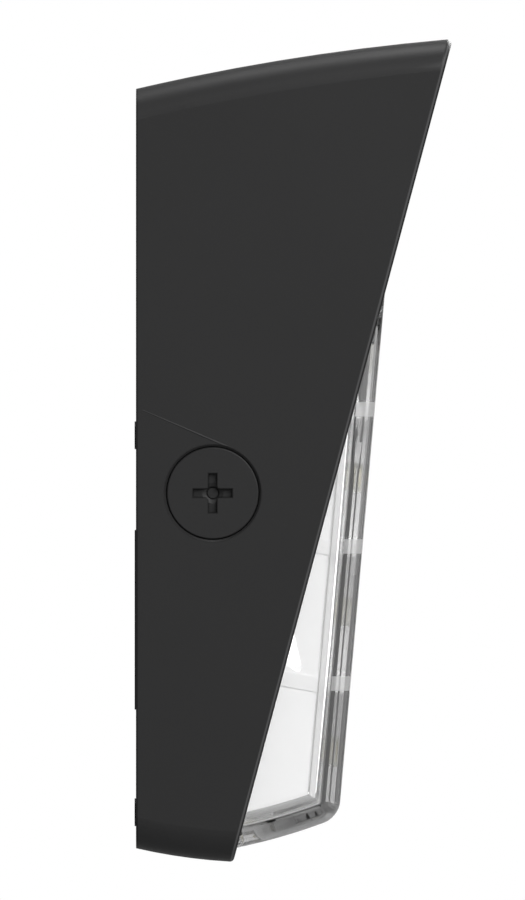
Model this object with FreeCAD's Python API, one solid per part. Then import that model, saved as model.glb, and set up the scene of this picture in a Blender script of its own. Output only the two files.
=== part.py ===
import FreeCAD, Part
import math
import os

# Wall pack light: a cast housing with a slanted front and a wedge-shaped clear lens. It hangs
# from two hinge pins at the top of a cast plate that is screwed to the wall.
#
# Frame: X runs across the wall, -Y points out of the wall, +Z is up, in millimetres. The origin
# is the centre of the wall fixing holes, on the wall's surface. "Depth" is the distance out from
# the wall. The slanted front has a frame of its own: "up" runs up the slope from the point at
# the origin's height, and "out" is the distance out of the slanted surface.

# Housing: profile seen from the side
housing_width = 210.0
rear_gap = 0.5
rear_top = 146.9
rear_bottom = -61.5
slant_depth = 44.55
slant_angle = 14.94
brow_top = 160.6
bottom_front = -65.2
top_bulge = 1.6
bottom_bulge = 0.6
side_wall = 2.5
front_wall = 3.0
side_rounding = 8.5
front_edge = 1.2

# Wall side: plate, pads, fixing holes and wire entry
plate_thickness = 3.0
plate_clearance = 1.0
plate_drop = 14.9
plate_corner = 5.0
fixing_inset = 5.5
fixing_apart = 103.7
fixing_hole_radius = 2.3
pad_radius = 3.82
land_height = 49.3
land_centre = 1.04
box_screw_spacing = 88.9
box_slot_length = 8.0
box_slot_radius = 2.3
wire_hole_radius = 11.0
wire_passage_radius = 8.0
grommet_lip = 2.0
grommet_lip_thickness = 1.5
wall_gasket_radius = 19.5
wall_gasket_width = 4.6
wall_gasket_thickness = 1.0

# Seal between the plate and the housing
gasket_thickness = 1.4
gasket_width = 4.0
gasket_inset = 12.0
gasket_bottom = -56.5
gasket_top_inset = 6.5
gasket_corner = 6.0
rest_clearance = 0.3
rim_thickness = 3.0
rim_margin = 1.5
rim_top_margin = 5.5
bulkhead_depth = 14.0
bulkhead_thickness = 2.5
relief_margin = 1.2

# Hinge at the top of the plate
hinge_spacing = 120.0
hinge_depth = 9.3
hinge_drop = 2.9
pin_radius = 1.5
running_clearance = 0.05
arm_width = 5.0
arm_radius = 3.0
arm_foot_drop = 4.5
arm_foot_height = 4.0
ear_thickness = 3.0
ear_radius = 3.4
ear_gap = 0.4
relief_skin = 1.4
pin_head_radius = 2.2
pin_head_thickness = 1.0

# Captive screws at the lower corners of the slanted front
captive_inset = 8.6
captive_height = -45.0
captive_shank_radius = 2.5
captive_thread_clearance = 0.35
captive_head_radius = 4.2
captive_head_length = 3.2
captive_slot_width = 1.2
captive_slot_depth = 1.4
captive_tip_depth = 4.5
captive_seat_depth = 22.0
captive_travel = 6.0
pillar_radius = 6.3
pillar_rear_depth = 16.0
pocket_clearance = 0.5
retainer_thickness = 1.0
retainer_radius = 4.0
screw_seal_thickness = 1.0
boss_radius = 4.5
boss_height = 5.0
boss_wall_behind = 1.5

# Conduit entries and their plugs, in the sides
plug_depth = 21.55
plug_height = 36.0
plug_head_radius = 12.6
plug_head_thickness = 3.0
plug_head_setback = 0.4
plug_head_edge = 0.4
plug_recess_clearance = 0.25
plug_recess_edge = 0.52
plug_seal_thickness = 1.1
plug_shank_radius = 10.3
plug_thread_clearance = 0.2
plug_thread_depth = 0.6
plug_thread_pitch = 1.6
plug_thread_turns = 4
plug_shank_length = 8.0
plug_boss_wall = 4.5
plug_boss_length = 10.0
cross_length = 10.8
cross_width = 2.36
cross_depth = 1.6
cross_centre_radius = 1.7
cross_centre_depth = 2.0
cross_slope_radius = 2.9
cross_blend = 1.0
cross_groove_width = 0.3
cross_groove_depth = 0.9
crease_rear = (2.3, 58.7)
crease_front = (27.2, 48.0)
crease_rear_rise = 0.02
crease_rise = 0.14
crease_half_width = 0.45

# Lens: its front leans less than the housing's
lens_margin = 19.0
lens_proud = 16.31
lens_lean = 5.03
lens_corner_proud = 11.65
lens_corner_height = -52.9
lens_heel_setback = 16.05
lens_heel_height = -61.3
lens_bottom_bulge = 0.65
lens_rounding = 9.0
lens_wall = 4.0
lens_fit = 0.5
lens_skirt_top = 94.4
lens_skirt_bottom = -63.4
lens_flange = 3.6
lens_flange_top = 99.0
lens_flange_bottom = -65.0
lens_flange_thickness = 3.0
lens_window_top = 88.0
lens_gasket_thickness = 1.0

# Clips that hold the lens flange
clip_stations = (-33.0, 10.0, 54.0)
top_clip_offset = 45.0
clip_width = 8.0
clip_thickness = 1.5
clip_length = 11.0
clip_overlap = 5.0
clip_boss_radius = 2.6
clip_boss_offset = 3.1
clip_screw_radius = 1.2
clip_head_radius = 2.2
clip_head_height = 1.4

# Tray that carries the lamp and the driver
tray_gap = 12.5
tray_thickness = 2.0
tray_inset = 16.5
tray_bottom = -58.0
tray_top = 140.0
ear_stations = (-20.0, 112.0)
tray_ear_inset = 10.0
tray_ear_half = 6.0
tray_boss_radius = 4.0
tray_screw_radius = 1.6
tray_head_radius = 3.0
tray_head_height = 2.2
screw_hole_clearance = 0.1

# Lamp: thermal pad, board, packages and reflector
pad_thickness = 0.9
board_thickness = 1.6
board_inset = 4.0
board_bottom = -56.0
board_top = 78.0
pad_margin = 2.0
led_rows = (-37.0, 2.7, 40.4)
led_columns = 8
led_end_margin = 20.0
led_side = 5.0
led_height = 0.8
led_dome_radius = 2.0
led_slot_clearance = 1.6
reflector_clearance = 2.0
reflector_floor = 1.4
reflector_bottom = -57.0
reflector_top = 70.0
cheek_thickness = 1.5
cheek_inset = 9.0
window_offsets = ((-1.75, 1.9), (2.05, -15.0), (-5.85, -9.05))
window_rounding = 1.2
rib_thickness = 4.0
rib_droop = 10.5
rib_front_height = -16.85
rib_spacing = 37.7
rib_count = 3
rib_length = 26.0
rib_proud = 0.3
board_screw_inset = 8.0
board_screw_stations = (-50.0, 12.0, 65.5)
board_screw_radius = 1.4
board_head_radius = 2.6
board_head_height = 1.8
connector_width = 14.0
connector_length = 6.5
connector_height = 4.5

# Driver on the rear of the tray
driver_width = 112.0
driver_bottom = 88.0
driver_length = 48.0
driver_height = 27.0
driver_wall = 1.4
driver_lid_thickness = 1.5
driver_tab = 9.0
driver_tab_thickness = 1.5
driver_board_height = 3.6
driver_board_thickness = 1.6
driver_board_clearance = 0.4
post_radius = 2.2
transformer_size = (26.0, 24.0, 15.0)
transformer_winding_radius = 9.0
transformer_winding_overhang = 2.0
transformer_offset = 18.0
capacitor_radius = 5.0
capacitor_length = 16.0
capacitor_places = ((-40.0, 12.0), (-28.0, 12.0), (-16.0, 12.0), (-34.0, 34.0))
driver_screw_radius = 1.6
driver_head_radius = 2.8
driver_head_height = 2.0

# Wires
supply_lead_radius = 1.3
led_lead_radius = 0.9
lead_bend_share = 0.45
supply_lead_spacing = 14.0
supply_lead_centre = -30.0
supply_exit_out = 14.0
nut_large_radius = 5.0
nut_small_radius = 3.0
nut_length = 16.0
led_lead_spacing = 5.0
led_lead_out = 5.0
led_hole_station = 82.5
led_hole_radius = 6.0

# Ground terminal on the plate
ground_across = 30.0
ground_height = -15.0
ground_boss_radius = 4.5
ground_boss_height = 2.5
ground_screw_radius = 2.0
ground_head_radius = 3.8
ground_head_height = 2.6
terminal_thickness = 0.8
terminal_radius = 4.0
terminal_barrel_radius = 2.0
terminal_barrel_length = 6.0

half_width = housing_width / 2
plate_half = half_width - side_wall - plate_clearance
gasket_half = plate_half - gasket_inset
gasket_inner = gasket_half - gasket_width
fixing_half = gasket_inner - fixing_inset
captive_x = half_width - captive_inset
hinge_x = hinge_spacing / 2
hinge_height = rear_top - hinge_drop
plate_top = rear_top - plate_drop
gasket_top = plate_top - gasket_top_inset
arm_foot_bottom = plate_top - arm_foot_drop
lens_half = half_width - lens_margin
tray_half = half_width - tray_inset
tray_ear_x = half_width - tray_ear_inset
reflector_half = lens_half - lens_wall - reflector_clearance
board_half = reflector_half - board_inset
board_screw_x = board_half - board_screw_inset
led_pitch = 2 * (board_half - led_end_margin) / (led_columns - 1)
lens_bottom_front = (slant_depth + lens_corner_proud, lens_corner_height)
lens_bottom_rear = (slant_depth - lens_heel_setback, lens_heel_height)
window_corners = [(slant_depth + proud, height) for proud, height in window_offsets]
slant_rise = math.tan(math.radians(slant_angle))
beyond = 200.0
form_front = 110.0
overcut = 1.0


def slant_at(height):
    """Depth of the slanted front at a height."""
    return slant_depth + slant_rise * height


def arc_height(depth, first, last, bulge):
    """Height at a depth on the shallow arc from first to last that bows by bulge."""
    run = last[0] - first[0]
    rise = last[1] - first[1]
    chord = math.hypot(run, rise)
    radius = (chord ** 2 / 4 + bulge ** 2) / (2 * bulge)
    reach = bulge - radius
    centre_depth = (first[0] + last[0]) / 2 - rise / chord * reach
    centre_height = (first[1] + last[1]) / 2 + run / chord * reach
    return centre_height + math.copysign(math.sqrt(radius ** 2 - (depth - centre_depth) ** 2), bulge)


def roof_at(depth):
    """Height of the housing's top at a depth."""
    return arc_height(depth, (rear_gap, rear_top), (slant_at(brow_top), brow_top), top_bulge)


def floor_at(depth):
    """Height of the housing's underside at a depth."""
    return arc_height(depth, (rear_gap, rear_bottom), (slant_at(bottom_front), bottom_front), -bottom_bulge)


def lens_floor_at(depth):
    """Height of the lens's underside at a depth."""
    return arc_height(depth, lens_bottom_rear, lens_bottom_front, -lens_bottom_bulge)


def lens_front_at(height):
    """Depth of the lens's front at a height."""
    return slant_depth + lens_proud + math.tan(math.radians(lens_lean)) * height


def point(across, depth, height):
    return FreeCAD.Vector(across, -depth, height)


def side_arc(across, height_at, first_depth, last_depth, shift):
    """Arc on a side plane that follows height_at, moved up by shift."""
    depths = (first_depth, (first_depth + last_depth) / 2, last_depth)
    ends = [point(across, depth, height_at(depth) + shift) for depth in depths]
    return Part.Arc(*ends).toShape()


def block(left, right, rear, front, bottom, top):
    """Box between two places across, two depths and two heights."""
    return Part.makeBox(right - left, front - rear, top - bottom, point(left, front, bottom))


def prism(corners, left, right):
    """Plate across the object with a polygon of (depth, height) corners."""
    ring = [point(left, depth, height) for depth, height in corners]
    face = Part.Face(Part.makePolygon(ring + ring[:1]))
    return face.extrude(FreeCAD.Vector(right - left, 0, 0))


def rod_out(across, height, rear, front, radius):
    """Round bar that points out of the wall."""
    return Part.makeCylinder(radius, front - rear, point(across, rear, height), FreeCAD.Vector(0, -1, 0))


def rod_across(depth, height, left, right, radius):
    """Round bar that runs across."""
    return Part.makeCylinder(radius, right - left, point(left, depth, height), FreeCAD.Vector(1, 0, 0))


slant_frame = FreeCAD.Placement(
    point(0, slant_depth, 0),
    FreeCAD.Rotation(FreeCAD.Vector(1, 0, 0), 90 + slant_angle))


def on_slant(shape):
    """Move a shape built in (across, up the slope, out of it) to its place."""
    shape.Placement = slant_frame.multiply(shape.Placement)
    return shape


def slant_point(across, up, out):
    return slant_frame.multVec(FreeCAD.Vector(across, up, out))


def slab(left, right, bottom, top, rear, front):
    """Box in the slanted front's frame."""
    return on_slant(Part.makeBox(right - left, top - bottom, front - rear,
                                 FreeCAD.Vector(left, bottom, rear)))


def round_slab(half, bottom, top, rear, front, radius):
    """Slab with rounded corners as seen square on to the slanted front."""
    shape = Part.makeBox(2 * half, top - bottom, front - rear, FreeCAD.Vector(-half, bottom, rear))
    corners = [edge for edge in shape.Edges if abs(edge.tangentAt(edge.FirstParameter).z) > 0.9]
    return on_slant(shape.makeFillet(radius, corners))


def stud(across, up, rear, front, radius):
    """Round bar square to the slanted front."""
    return on_slant(Part.makeCylinder(radius, front - rear, FreeCAD.Vector(across, up, rear),
                                      FreeCAD.Vector(0, 0, 1)))


def mirrored(shape):
    return shape.mirror(FreeCAD.Vector(0, 0, 0), FreeCAD.Vector(1, 0, 0))


def both_sides(shape):
    return [shape, mirrored(shape)]


def joined(shapes):
    return shapes[0].fuse(shapes[1:]).removeSplitter()


def lead(corners, radius):
    """Wire along straight runs that tangent arcs join."""
    edges = []
    start = corners[0]
    for before, corner, after in zip(corners, corners[1:], corners[2:]):
        back = (before - corner).normalize()
        ahead = (after - corner).normalize()
        reach = lead_bend_share * min((before - corner).Length, (after - corner).Length)
        half_angle = back.getAngle(ahead) / 2
        bisector = (back + ahead).normalize()
        depth = reach / math.cos(half_angle) - reach * math.tan(half_angle)
        arc_start = corner + back * reach
        arc_end = corner + ahead * reach
        edges.append(Part.LineSegment(start, arc_start).toShape())
        edges.append(Part.Arc(arc_start, corner + bisector * depth, arc_end).toShape())
        start = arc_end
    edges.append(Part.LineSegment(start, corners[-1]).toShape())
    section = Part.Wire(Part.makeCircle(radius, corners[0], corners[1] - corners[0]))
    return Part.Wire(edges).makePipeShell([section], True, False)


def housing_form(inset, rear):
    """The housing's outline, set in by a wall, from a rear depth to well past its front."""
    half = half_width - inset
    roof = side_arc(-half, roof_at, rear, form_front, -inset)
    floor = side_arc(-half, floor_at, rear, form_front, inset)
    rear_side = Part.makeLine(point(-half, rear, floor_at(rear) + inset),
                              point(-half, rear, roof_at(rear) - inset))
    front_side = Part.makeLine(point(-half, form_front, floor_at(form_front) + inset),
                               point(-half, form_front, roof_at(form_front) - inset))
    outline = Part.Wire(Part.__sortEdges__([roof, front_side, floor, rear_side]))
    shape = Part.Face(outline).extrude(FreeCAD.Vector(2 * half, 0, 0))
    long_edges = [edge for edge in shape.Edges if isinstance(edge.Curve, Part.Circle)]
    return shape.makeFillet(side_rounding - inset, long_edges)


def behind_slant(out):
    """Everything behind the slanted plane, shifted out by a distance."""
    return slab(-beyond, beyond, -beyond, beyond, -2 * beyond, out)


def make_outer():
    """The housing's outside, with its slanted face's edge broken."""
    outer = housing_form(0, rear_gap).common(behind_slant(0))
    outward = slant_point(0, 0, overcut) - slant_point(0, 0, 0)
    slanted = max(outer.Faces, key=lambda face: face.normalAt(0, 0).dot(outward))
    return outer.makeFillet(front_edge, slanted.Edges)


plate_face = rear_gap + plate_thickness
rim_rear = plate_face + gasket_thickness + rest_clearance
rim_front = rim_rear + rim_thickness
pocket_radius = captive_head_radius + pocket_clearance
plug_recess_radius = plug_head_radius + plug_recess_clearance
plug_hole_radius = plug_shank_radius + plug_thread_clearance
plug_head_inner = half_width - plug_head_setback - plug_head_thickness
plug_seat = plug_head_inner - plug_seal_thickness
lens_gasket_rear = -front_wall - lens_gasket_thickness
flange_rear = lens_gasket_rear - lens_flange_thickness
clip_rear = flange_rear - clip_thickness
clip_x = lens_half + lens_flange + clip_boss_offset
clip_top = lens_flange_top + clip_boss_offset
board_rear = -tray_gap + pad_thickness
board_front = board_rear + board_thickness
reflector_front = board_front + reflector_floor
tray_rear = -tray_gap - tray_thickness


def make_rim():
    """Inner frame of the housing that lands on the body gasket, notched at the hinge arms."""
    rim = block(-half_width, half_width, rim_rear, rim_front, rear_bottom, gasket_top + rim_top_margin)
    opening = block(-gasket_inner + rim_margin, gasket_inner - rim_margin, rim_rear - overcut,
                    rim_front + overcut, gasket_bottom + gasket_width + rim_margin,
                    gasket_top - gasket_width - rim_margin)
    notch = block(hinge_x - arm_width, hinge_x + arm_width, rim_rear - overcut, rim_front + overcut,
                  gasket_top + running_clearance, brow_top)
    boss_hole = rod_out(captive_x, captive_height, rim_rear - overcut, rim_front + overcut,
                        boss_radius + rim_margin)
    return rim.cut([opening] + both_sides(notch) + both_sides(boss_hole))


def make_bulkhead():
    """Wall that closes the housing off below and in front of the hinge, from the rim to the roof."""
    bottom = gasket_top - gasket_width - rim_margin
    front = bulkhead_depth + bulkhead_thickness
    shelf = block(-half_width, half_width, rim_rear, front, bottom, bottom + bulkhead_thickness)
    upright = block(-half_width, half_width, bulkhead_depth, front, bottom, roof_at(front))
    return shelf.fuse(upright)


def make_ears():
    """Ears that hang from the housing's roof on both sides of each hinge arm."""
    ears = []
    inner = arm_width / 2 + ear_gap
    for start in (hinge_x - inner - ear_thickness, hinge_x + inner):
        eye = rod_across(hinge_depth, hinge_height, start, start + ear_thickness, ear_radius)
        web = block(start, start + ear_thickness, hinge_depth - ear_radius, hinge_depth + ear_radius,
                    hinge_height, roof_at(hinge_depth + ear_radius))
        ears += both_sides(eye.fuse(web))
    return ears


def make_relief():
    """Room above a hinge arm's eye for the swing, cut into the inside of the roof."""
    front = hinge_depth + arm_radius + relief_margin
    corners = ((-overcut, hinge_height), (-overcut, roof_at(-overcut) - relief_skin),
               (front, roof_at(front) - relief_skin), (front, hinge_height))
    half = arm_width / 2 + ear_gap
    return prism(corners, hinge_x - half, hinge_x + half)


def make_crease():
    """Low cast line on the side, from the rear edge to the conduit entry."""
    start = point(half_width - crease_half_width + crease_rear_rise, *crease_rear)
    end = point(half_width - crease_half_width + crease_rise, *crease_front)
    return Part.makeCylinder(crease_half_width, (end - start).Length, start, end - start)


def tray_places():
    return [(side * tray_ear_x, station) for station in ear_stations for side in (-1, 1)]


def clip_places():
    sides = [(side * clip_x, station) for station in clip_stations for side in (-1, 1)]
    return sides + [(side * top_clip_offset, clip_top) for side in (-1, 1)]


def make_housing():
    outer = make_outer()
    cavity = housing_form(side_wall, rear_gap - overcut).common(behind_slant(-front_wall))
    pillar = rod_out(captive_x, captive_height, pillar_rear_depth, slant_at(captive_height), pillar_radius)
    plug_boss = rod_across(plug_depth, plug_height, half_width - side_wall - plug_boss_length,
                           half_width - side_wall, plug_hole_radius + plug_boss_wall)
    inside = [make_rim(), make_bulkhead()] + make_ears() + both_sides(pillar) + both_sides(plug_boss)
    inside += [stud(x, up, -tray_gap, -front_wall, tray_boss_radius) for x, up in tray_places()]
    inside += [stud(x, up, flange_rear, -front_wall, clip_boss_radius) for x, up in clip_places()]
    body = outer.cut(cavity).fuse([piece.common(outer) for piece in inside] + both_sides(make_crease()))
    lens_opening = round_slab(lens_half + lens_fit, lens_skirt_bottom - lens_fit,
                              lens_skirt_top + lens_fit, -front_wall - overcut, overcut,
                              lens_rounding + lens_fit)
    pocket = rod_out(captive_x, captive_height, captive_seat_depth, beyond, pocket_radius)
    passage = rod_out(captive_x, captive_height, pillar_rear_depth - overcut, captive_seat_depth,
                      captive_shank_radius + captive_thread_clearance)
    recess = rod_across(plug_depth, plug_height, plug_seat, half_width + overcut, plug_recess_radius)
    recess = recess.fuse(Part.makeCone(plug_recess_radius, plug_recess_radius + 2 * plug_recess_edge,
                                       2 * plug_recess_edge,
                                       point(half_width - plug_recess_edge, plug_depth, plug_height),
                                       FreeCAD.Vector(1, 0, 0)))
    entry = rod_across(plug_depth, plug_height, half_width - side_wall - plug_boss_length - overcut,
                       plug_seat, plug_hole_radius)
    pin_run = 2 * (ear_gap + ear_thickness) + arm_width + 2 * overcut
    pin_hole = rod_across(hinge_depth, hinge_height, hinge_x - pin_run / 2, hinge_x + pin_run / 2,
                          pin_radius + running_clearance)
    cuts = [lens_opening]
    for shape in (pocket, passage, recess, entry, pin_hole, make_relief()):
        cuts += both_sides(shape)
    cuts += [stud(x, up, -tray_gap - overcut, -front_wall - overcut, tray_screw_radius + screw_hole_clearance)
             for x, up in tray_places()]
    cuts += [stud(x, up, flange_rear - overcut, -front_wall - overcut, clip_screw_radius + screw_hole_clearance)
             for x, up in clip_places()]
    return body.cut(cuts).removeSplitter()


def make_back_plate():
    plate = block(-plate_half, plate_half, rear_gap, plate_face, rear_bottom + side_wall + plate_clearance, plate_top)
    corners = [edge for edge in plate.Edges if abs(edge.tangentAt(edge.FirstParameter).y) > 0.9]
    plate = plate.makeFillet(plate_corner, corners)
    land = block(-fixing_half, fixing_half, 0, rear_gap,
                 land_centre - land_height / 2, land_centre + land_height / 2)
    pads = [rod_out(x, z, 0, rear_gap, pad_radius) for x, z in fixing_places()]
    arm = block(hinge_x - arm_width / 2, hinge_x + arm_width / 2, hinge_depth - arm_radius,
                hinge_depth + arm_radius, arm_foot_bottom, hinge_height)
    eye = rod_across(hinge_depth, hinge_height, hinge_x - arm_width / 2, hinge_x + arm_width / 2, arm_radius)
    foot = block(hinge_x - arm_width / 2, hinge_x + arm_width / 2, plate_face - overcut,
                 hinge_depth + arm_radius, arm_foot_bottom, arm_foot_bottom + arm_foot_height)
    boss = rod_out(captive_x, captive_height, rear_gap, plate_face + boss_height, boss_radius)
    ground_boss = rod_out(ground_across, ground_height, rear_gap, plate_face + ground_boss_height,
                          ground_boss_radius)
    body = plate.fuse([land, ground_boss] + pads + both_sides(arm) + both_sides(eye) + both_sides(foot)
                      + both_sides(boss))
    cuts = [rod_out(x, z, -overcut, plate_face + overcut, fixing_hole_radius) for x, z in fixing_places()]
    cuts += both_sides(make_box_slot())
    cuts += [rod_out(0, 0, -overcut, plate_face + overcut, wire_hole_radius)]
    cuts += [ring_out(0, 0, -overcut, wall_gasket_thickness, wall_gasket_radius + wall_gasket_width / 2
                      + running_clearance, wall_gasket_radius - wall_gasket_width / 2 - running_clearance)]
    cuts += both_sides(rod_across(hinge_depth, hinge_height, hinge_x - arm_width, hinge_x + arm_width,
                                  pin_radius + running_clearance))
    cuts += both_sides(rod_out(captive_x, captive_height, boss_wall_behind, plate_face + boss_height
                               + overcut, captive_shank_radius + captive_thread_clearance))
    cuts += [rod_out(ground_across, ground_height, boss_wall_behind,
                     plate_face + ground_boss_height + overcut, ground_screw_radius + screw_hole_clearance)]
    return body.cut(cuts).removeSplitter()


def fixing_places():
    return [(side * fixing_half, end * fixing_apart / 2) for side in (-1, 1) for end in (-1, 1)]


def make_box_slot():
    """Slot for a junction box screw, with round ends."""
    straight = box_slot_length / 2 - box_slot_radius
    centre = box_screw_spacing / 2
    ends = [rod_out(centre + side * straight, 0, -overcut, plate_face + overcut, box_slot_radius)
            for side in (-1, 1)]
    middle = block(centre - straight, centre + straight, -overcut, plate_face + overcut,
                   -box_slot_radius, box_slot_radius)
    return middle.fuse(ends)


def ring_out(across, height, rear, front, outer_radius, inner_radius):
    ring = rod_out(across, height, rear, front, outer_radius)
    return ring.cut(rod_out(across, height, rear - overcut, front + overcut, inner_radius))


def make_wall_gasket():
    return ring_out(0, 0, 0, wall_gasket_thickness, wall_gasket_radius + wall_gasket_width / 2,
                    wall_gasket_radius - wall_gasket_width / 2)


def make_wire_grommet():
    neck = ring_out(0, 0, rear_gap, plate_face, wire_hole_radius, wire_passage_radius)
    lip = ring_out(0, 0, plate_face, plate_face + grommet_lip_thickness, wire_hole_radius + grommet_lip,
                   wire_passage_radius)
    return joined([neck, lip])


def rounded_frame(half, bottom, top, rear, front, radius):
    """Block with rounded corners as seen from the front."""
    shape = block(-half, half, rear, front, bottom, top)
    corners = [edge for edge in shape.Edges if abs(edge.tangentAt(edge.FirstParameter).y) > 0.9]
    return shape.makeFillet(radius, corners)


def make_body_gasket():
    outside = rounded_frame(gasket_half, gasket_bottom, gasket_top, plate_face,
                            plate_face + gasket_thickness, gasket_corner)
    inside = rounded_frame(gasket_inner, gasket_bottom + gasket_width, gasket_top - gasket_width,
                           plate_face - overcut, plate_face + gasket_thickness + overcut,
                           gasket_corner - gasket_width)
    return outside.cut(inside)


def make_hinge_pins():
    reach = arm_width / 2 + ear_gap + ear_thickness
    pin = rod_across(hinge_depth, hinge_height, hinge_x - reach - rest_clearance, hinge_x + reach, pin_radius)
    head = rod_across(hinge_depth, hinge_height, hinge_x + reach, hinge_x + reach + pin_head_thickness,
                      pin_head_radius)
    return Part.makeCompound(both_sides(joined([pin, head])))


def make_captive_screw():
    head_rear = captive_seat_depth + screw_seal_thickness
    head_front = head_rear + captive_head_length
    shank = rod_out(captive_x, captive_height, captive_tip_depth, head_rear, captive_shank_radius)
    head = rod_out(captive_x, captive_height, head_rear, head_front, captive_head_radius)
    slot = block(captive_x - captive_slot_width / 2, captive_x + captive_slot_width / 2,
                 head_front - captive_slot_depth, head_front + overcut,
                 captive_height - captive_head_radius, captive_height + captive_head_radius)
    return joined([shank, head]).cut(slot)


def make_screw_retainer():
    rear = pillar_rear_depth - captive_travel - retainer_thickness
    return ring_out(captive_x, captive_height, rear, rear + retainer_thickness, retainer_radius,
                    captive_shank_radius)


def make_screw_seals():
    seal = ring_out(captive_x, captive_height, captive_seat_depth, captive_seat_depth + screw_seal_thickness,
                    captive_head_radius, captive_shank_radius + captive_thread_clearance)
    return Part.makeCompound(both_sides(seal))


def make_conduit_plug():
    """Plug of the right-hand conduit entry, with its cross recess facing out."""
    head_outer = plug_head_inner + plug_head_thickness
    head = rod_across(plug_depth, plug_height, plug_head_inner, head_outer, plug_head_radius)
    rim = [edge for edge in head.Edges if abs(edge.BoundBox.Center.x - head_outer) < running_clearance]
    head = head.makeFillet(plug_head_edge, rim)
    shank = rod_across(plug_depth, plug_height, plug_head_inner - plug_shank_length, plug_head_inner,
                       plug_shank_radius)
    grooves = []
    for turn in range(plug_thread_turns):
        start = plug_head_inner - plug_shank_length + plug_thread_pitch * (turn + 0.5)
        groove = rod_across(plug_depth, plug_height, start, start + plug_thread_pitch / 2,
                            plug_shank_radius + overcut)
        grooves.append(groove.cut(rod_across(plug_depth, plug_height, start - overcut,
                                             start + plug_thread_pitch + overcut,
                                             plug_shank_radius - plug_thread_depth)))
    arm = block(head_outer - cross_depth, head_outer + overcut, plug_depth - cross_length / 2,
                plug_depth + cross_length / 2, plug_height - cross_width / 2, plug_height + cross_width / 2)
    upright = block(head_outer - cross_depth, head_outer + overcut, plug_depth - cross_width / 2,
                    plug_depth + cross_width / 2, plug_height - cross_length / 2,
                    plug_height + cross_length / 2)
    well = rod_across(plug_depth, plug_height, head_outer - cross_centre_depth, head_outer + overcut,
                      cross_centre_radius)
    funnel = Part.makeCone(cross_centre_radius, cross_slope_radius, cross_centre_depth - cross_depth,
                           point(head_outer - cross_centre_depth, plug_depth, plug_height),
                           FreeCAD.Vector(1, 0, 0))
    corner = cross_width / 2 + cross_blend
    blend = block(head_outer - cross_depth, head_outer + overcut, plug_depth - corner, plug_depth + corner,
                  plug_height - corner, plug_height + corner)
    blend = blend.cut([rod_across(plug_depth + across, plug_height + up, head_outer - 2 * cross_depth,
                                  head_outer + 2 * overcut, cross_blend)
                       for across in (-corner, corner) for up in (-corner, corner)])
    ring = [rod_across(plug_depth, plug_height, head_outer - cross_centre_depth - cross_groove_depth,
                       head_outer, radius)
            for radius in (cross_centre_radius, cross_centre_radius - cross_groove_width)]
    groove = ring[0].cut(ring[1])
    return joined([head, shank]).cut(grooves + [arm, upright, blend, well, funnel, groove]).removeSplitter()


def make_plug_seal():
    seal = rod_across(plug_depth, plug_height, plug_seat, plug_head_inner, plug_head_radius - running_clearance)
    return seal.cut(rod_across(plug_depth, plug_height, plug_seat - overcut, plug_head_inner + overcut,
                               plug_shank_radius + running_clearance))


def lens_prism(inset, left, right):
    """Plate across with the lens's side profile, set in from its front and underside."""
    front_inset = inset / math.cos(math.radians(lens_lean))
    corner_depth = lens_bottom_front[0] - inset
    corner_height = lens_floor_at(corner_depth) + inset
    for step in range(3):
        corner_depth = lens_front_at(corner_height) - front_inset
        corner_height = lens_floor_at(corner_depth) + inset
    floor = side_arc(left, lens_floor_at, 0, corner_depth, inset)
    corner = point(left, corner_depth, lens_floor_at(corner_depth) + inset)
    top_front = point(left, lens_front_at(beyond) - front_inset, beyond)
    top_rear = point(left, 0, beyond)
    bottom_rear = point(left, 0, lens_floor_at(0) + inset)
    sides = [Part.makeLine(corner, top_front), Part.makeLine(top_front, top_rear),
             Part.makeLine(top_rear, bottom_rear)]
    outline = Part.Wire(Part.__sortEdges__([floor] + sides))
    return Part.Face(outline).extrude(FreeCAD.Vector(right - left, 0, 0))


def lens_form(inset):
    """The lens's outside, or its inside when set in by the wall, with its edges rounded."""
    half = lens_half - inset
    shape = lens_prism(inset, -half, half)
    rounded = []
    for edge in shape.Edges:
        middle = edge.valueAt((edge.FirstParameter + edge.LastParameter) / 2)
        near_front = -middle.y > lens_front_at(middle.z) - inset - lens_wall
        on_floor = isinstance(edge.Curve, Part.Circle)
        if near_front and middle.z < beyond - overcut or on_floor:
            rounded.append(edge)
    return shape.makeFillet(lens_rounding - inset, rounded)


def make_lens():
    dome = lens_form(0).common(slab(-lens_half, lens_half, lens_skirt_bottom, lens_skirt_top, 0, beyond))
    skirt = round_slab(lens_half, lens_skirt_bottom, lens_skirt_top, lens_gasket_rear, 0, lens_rounding)
    flange = round_slab(lens_half + lens_flange, lens_flange_bottom, lens_flange_top, flange_rear,
                        lens_gasket_rear, lens_rounding)
    window = round_slab(lens_half - lens_wall, lens_skirt_bottom + lens_wall, lens_window_top,
                        flange_rear - overcut, beyond, lens_rounding - lens_wall)
    hollow = lens_form(lens_wall).common(window)
    return joined([dome, skirt, flange]).cut(hollow).removeSplitter()


def make_lens_gasket():
    outside = round_slab(lens_half + lens_flange, lens_flange_bottom, lens_flange_top, lens_gasket_rear,
                         -front_wall, lens_rounding)
    inside = round_slab(lens_half + lens_fit, lens_skirt_bottom - lens_fit, lens_skirt_top + lens_fit,
                        lens_gasket_rear - overcut, -front_wall + overcut, lens_rounding + lens_fit)
    return outside.cut(inside)


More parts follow.
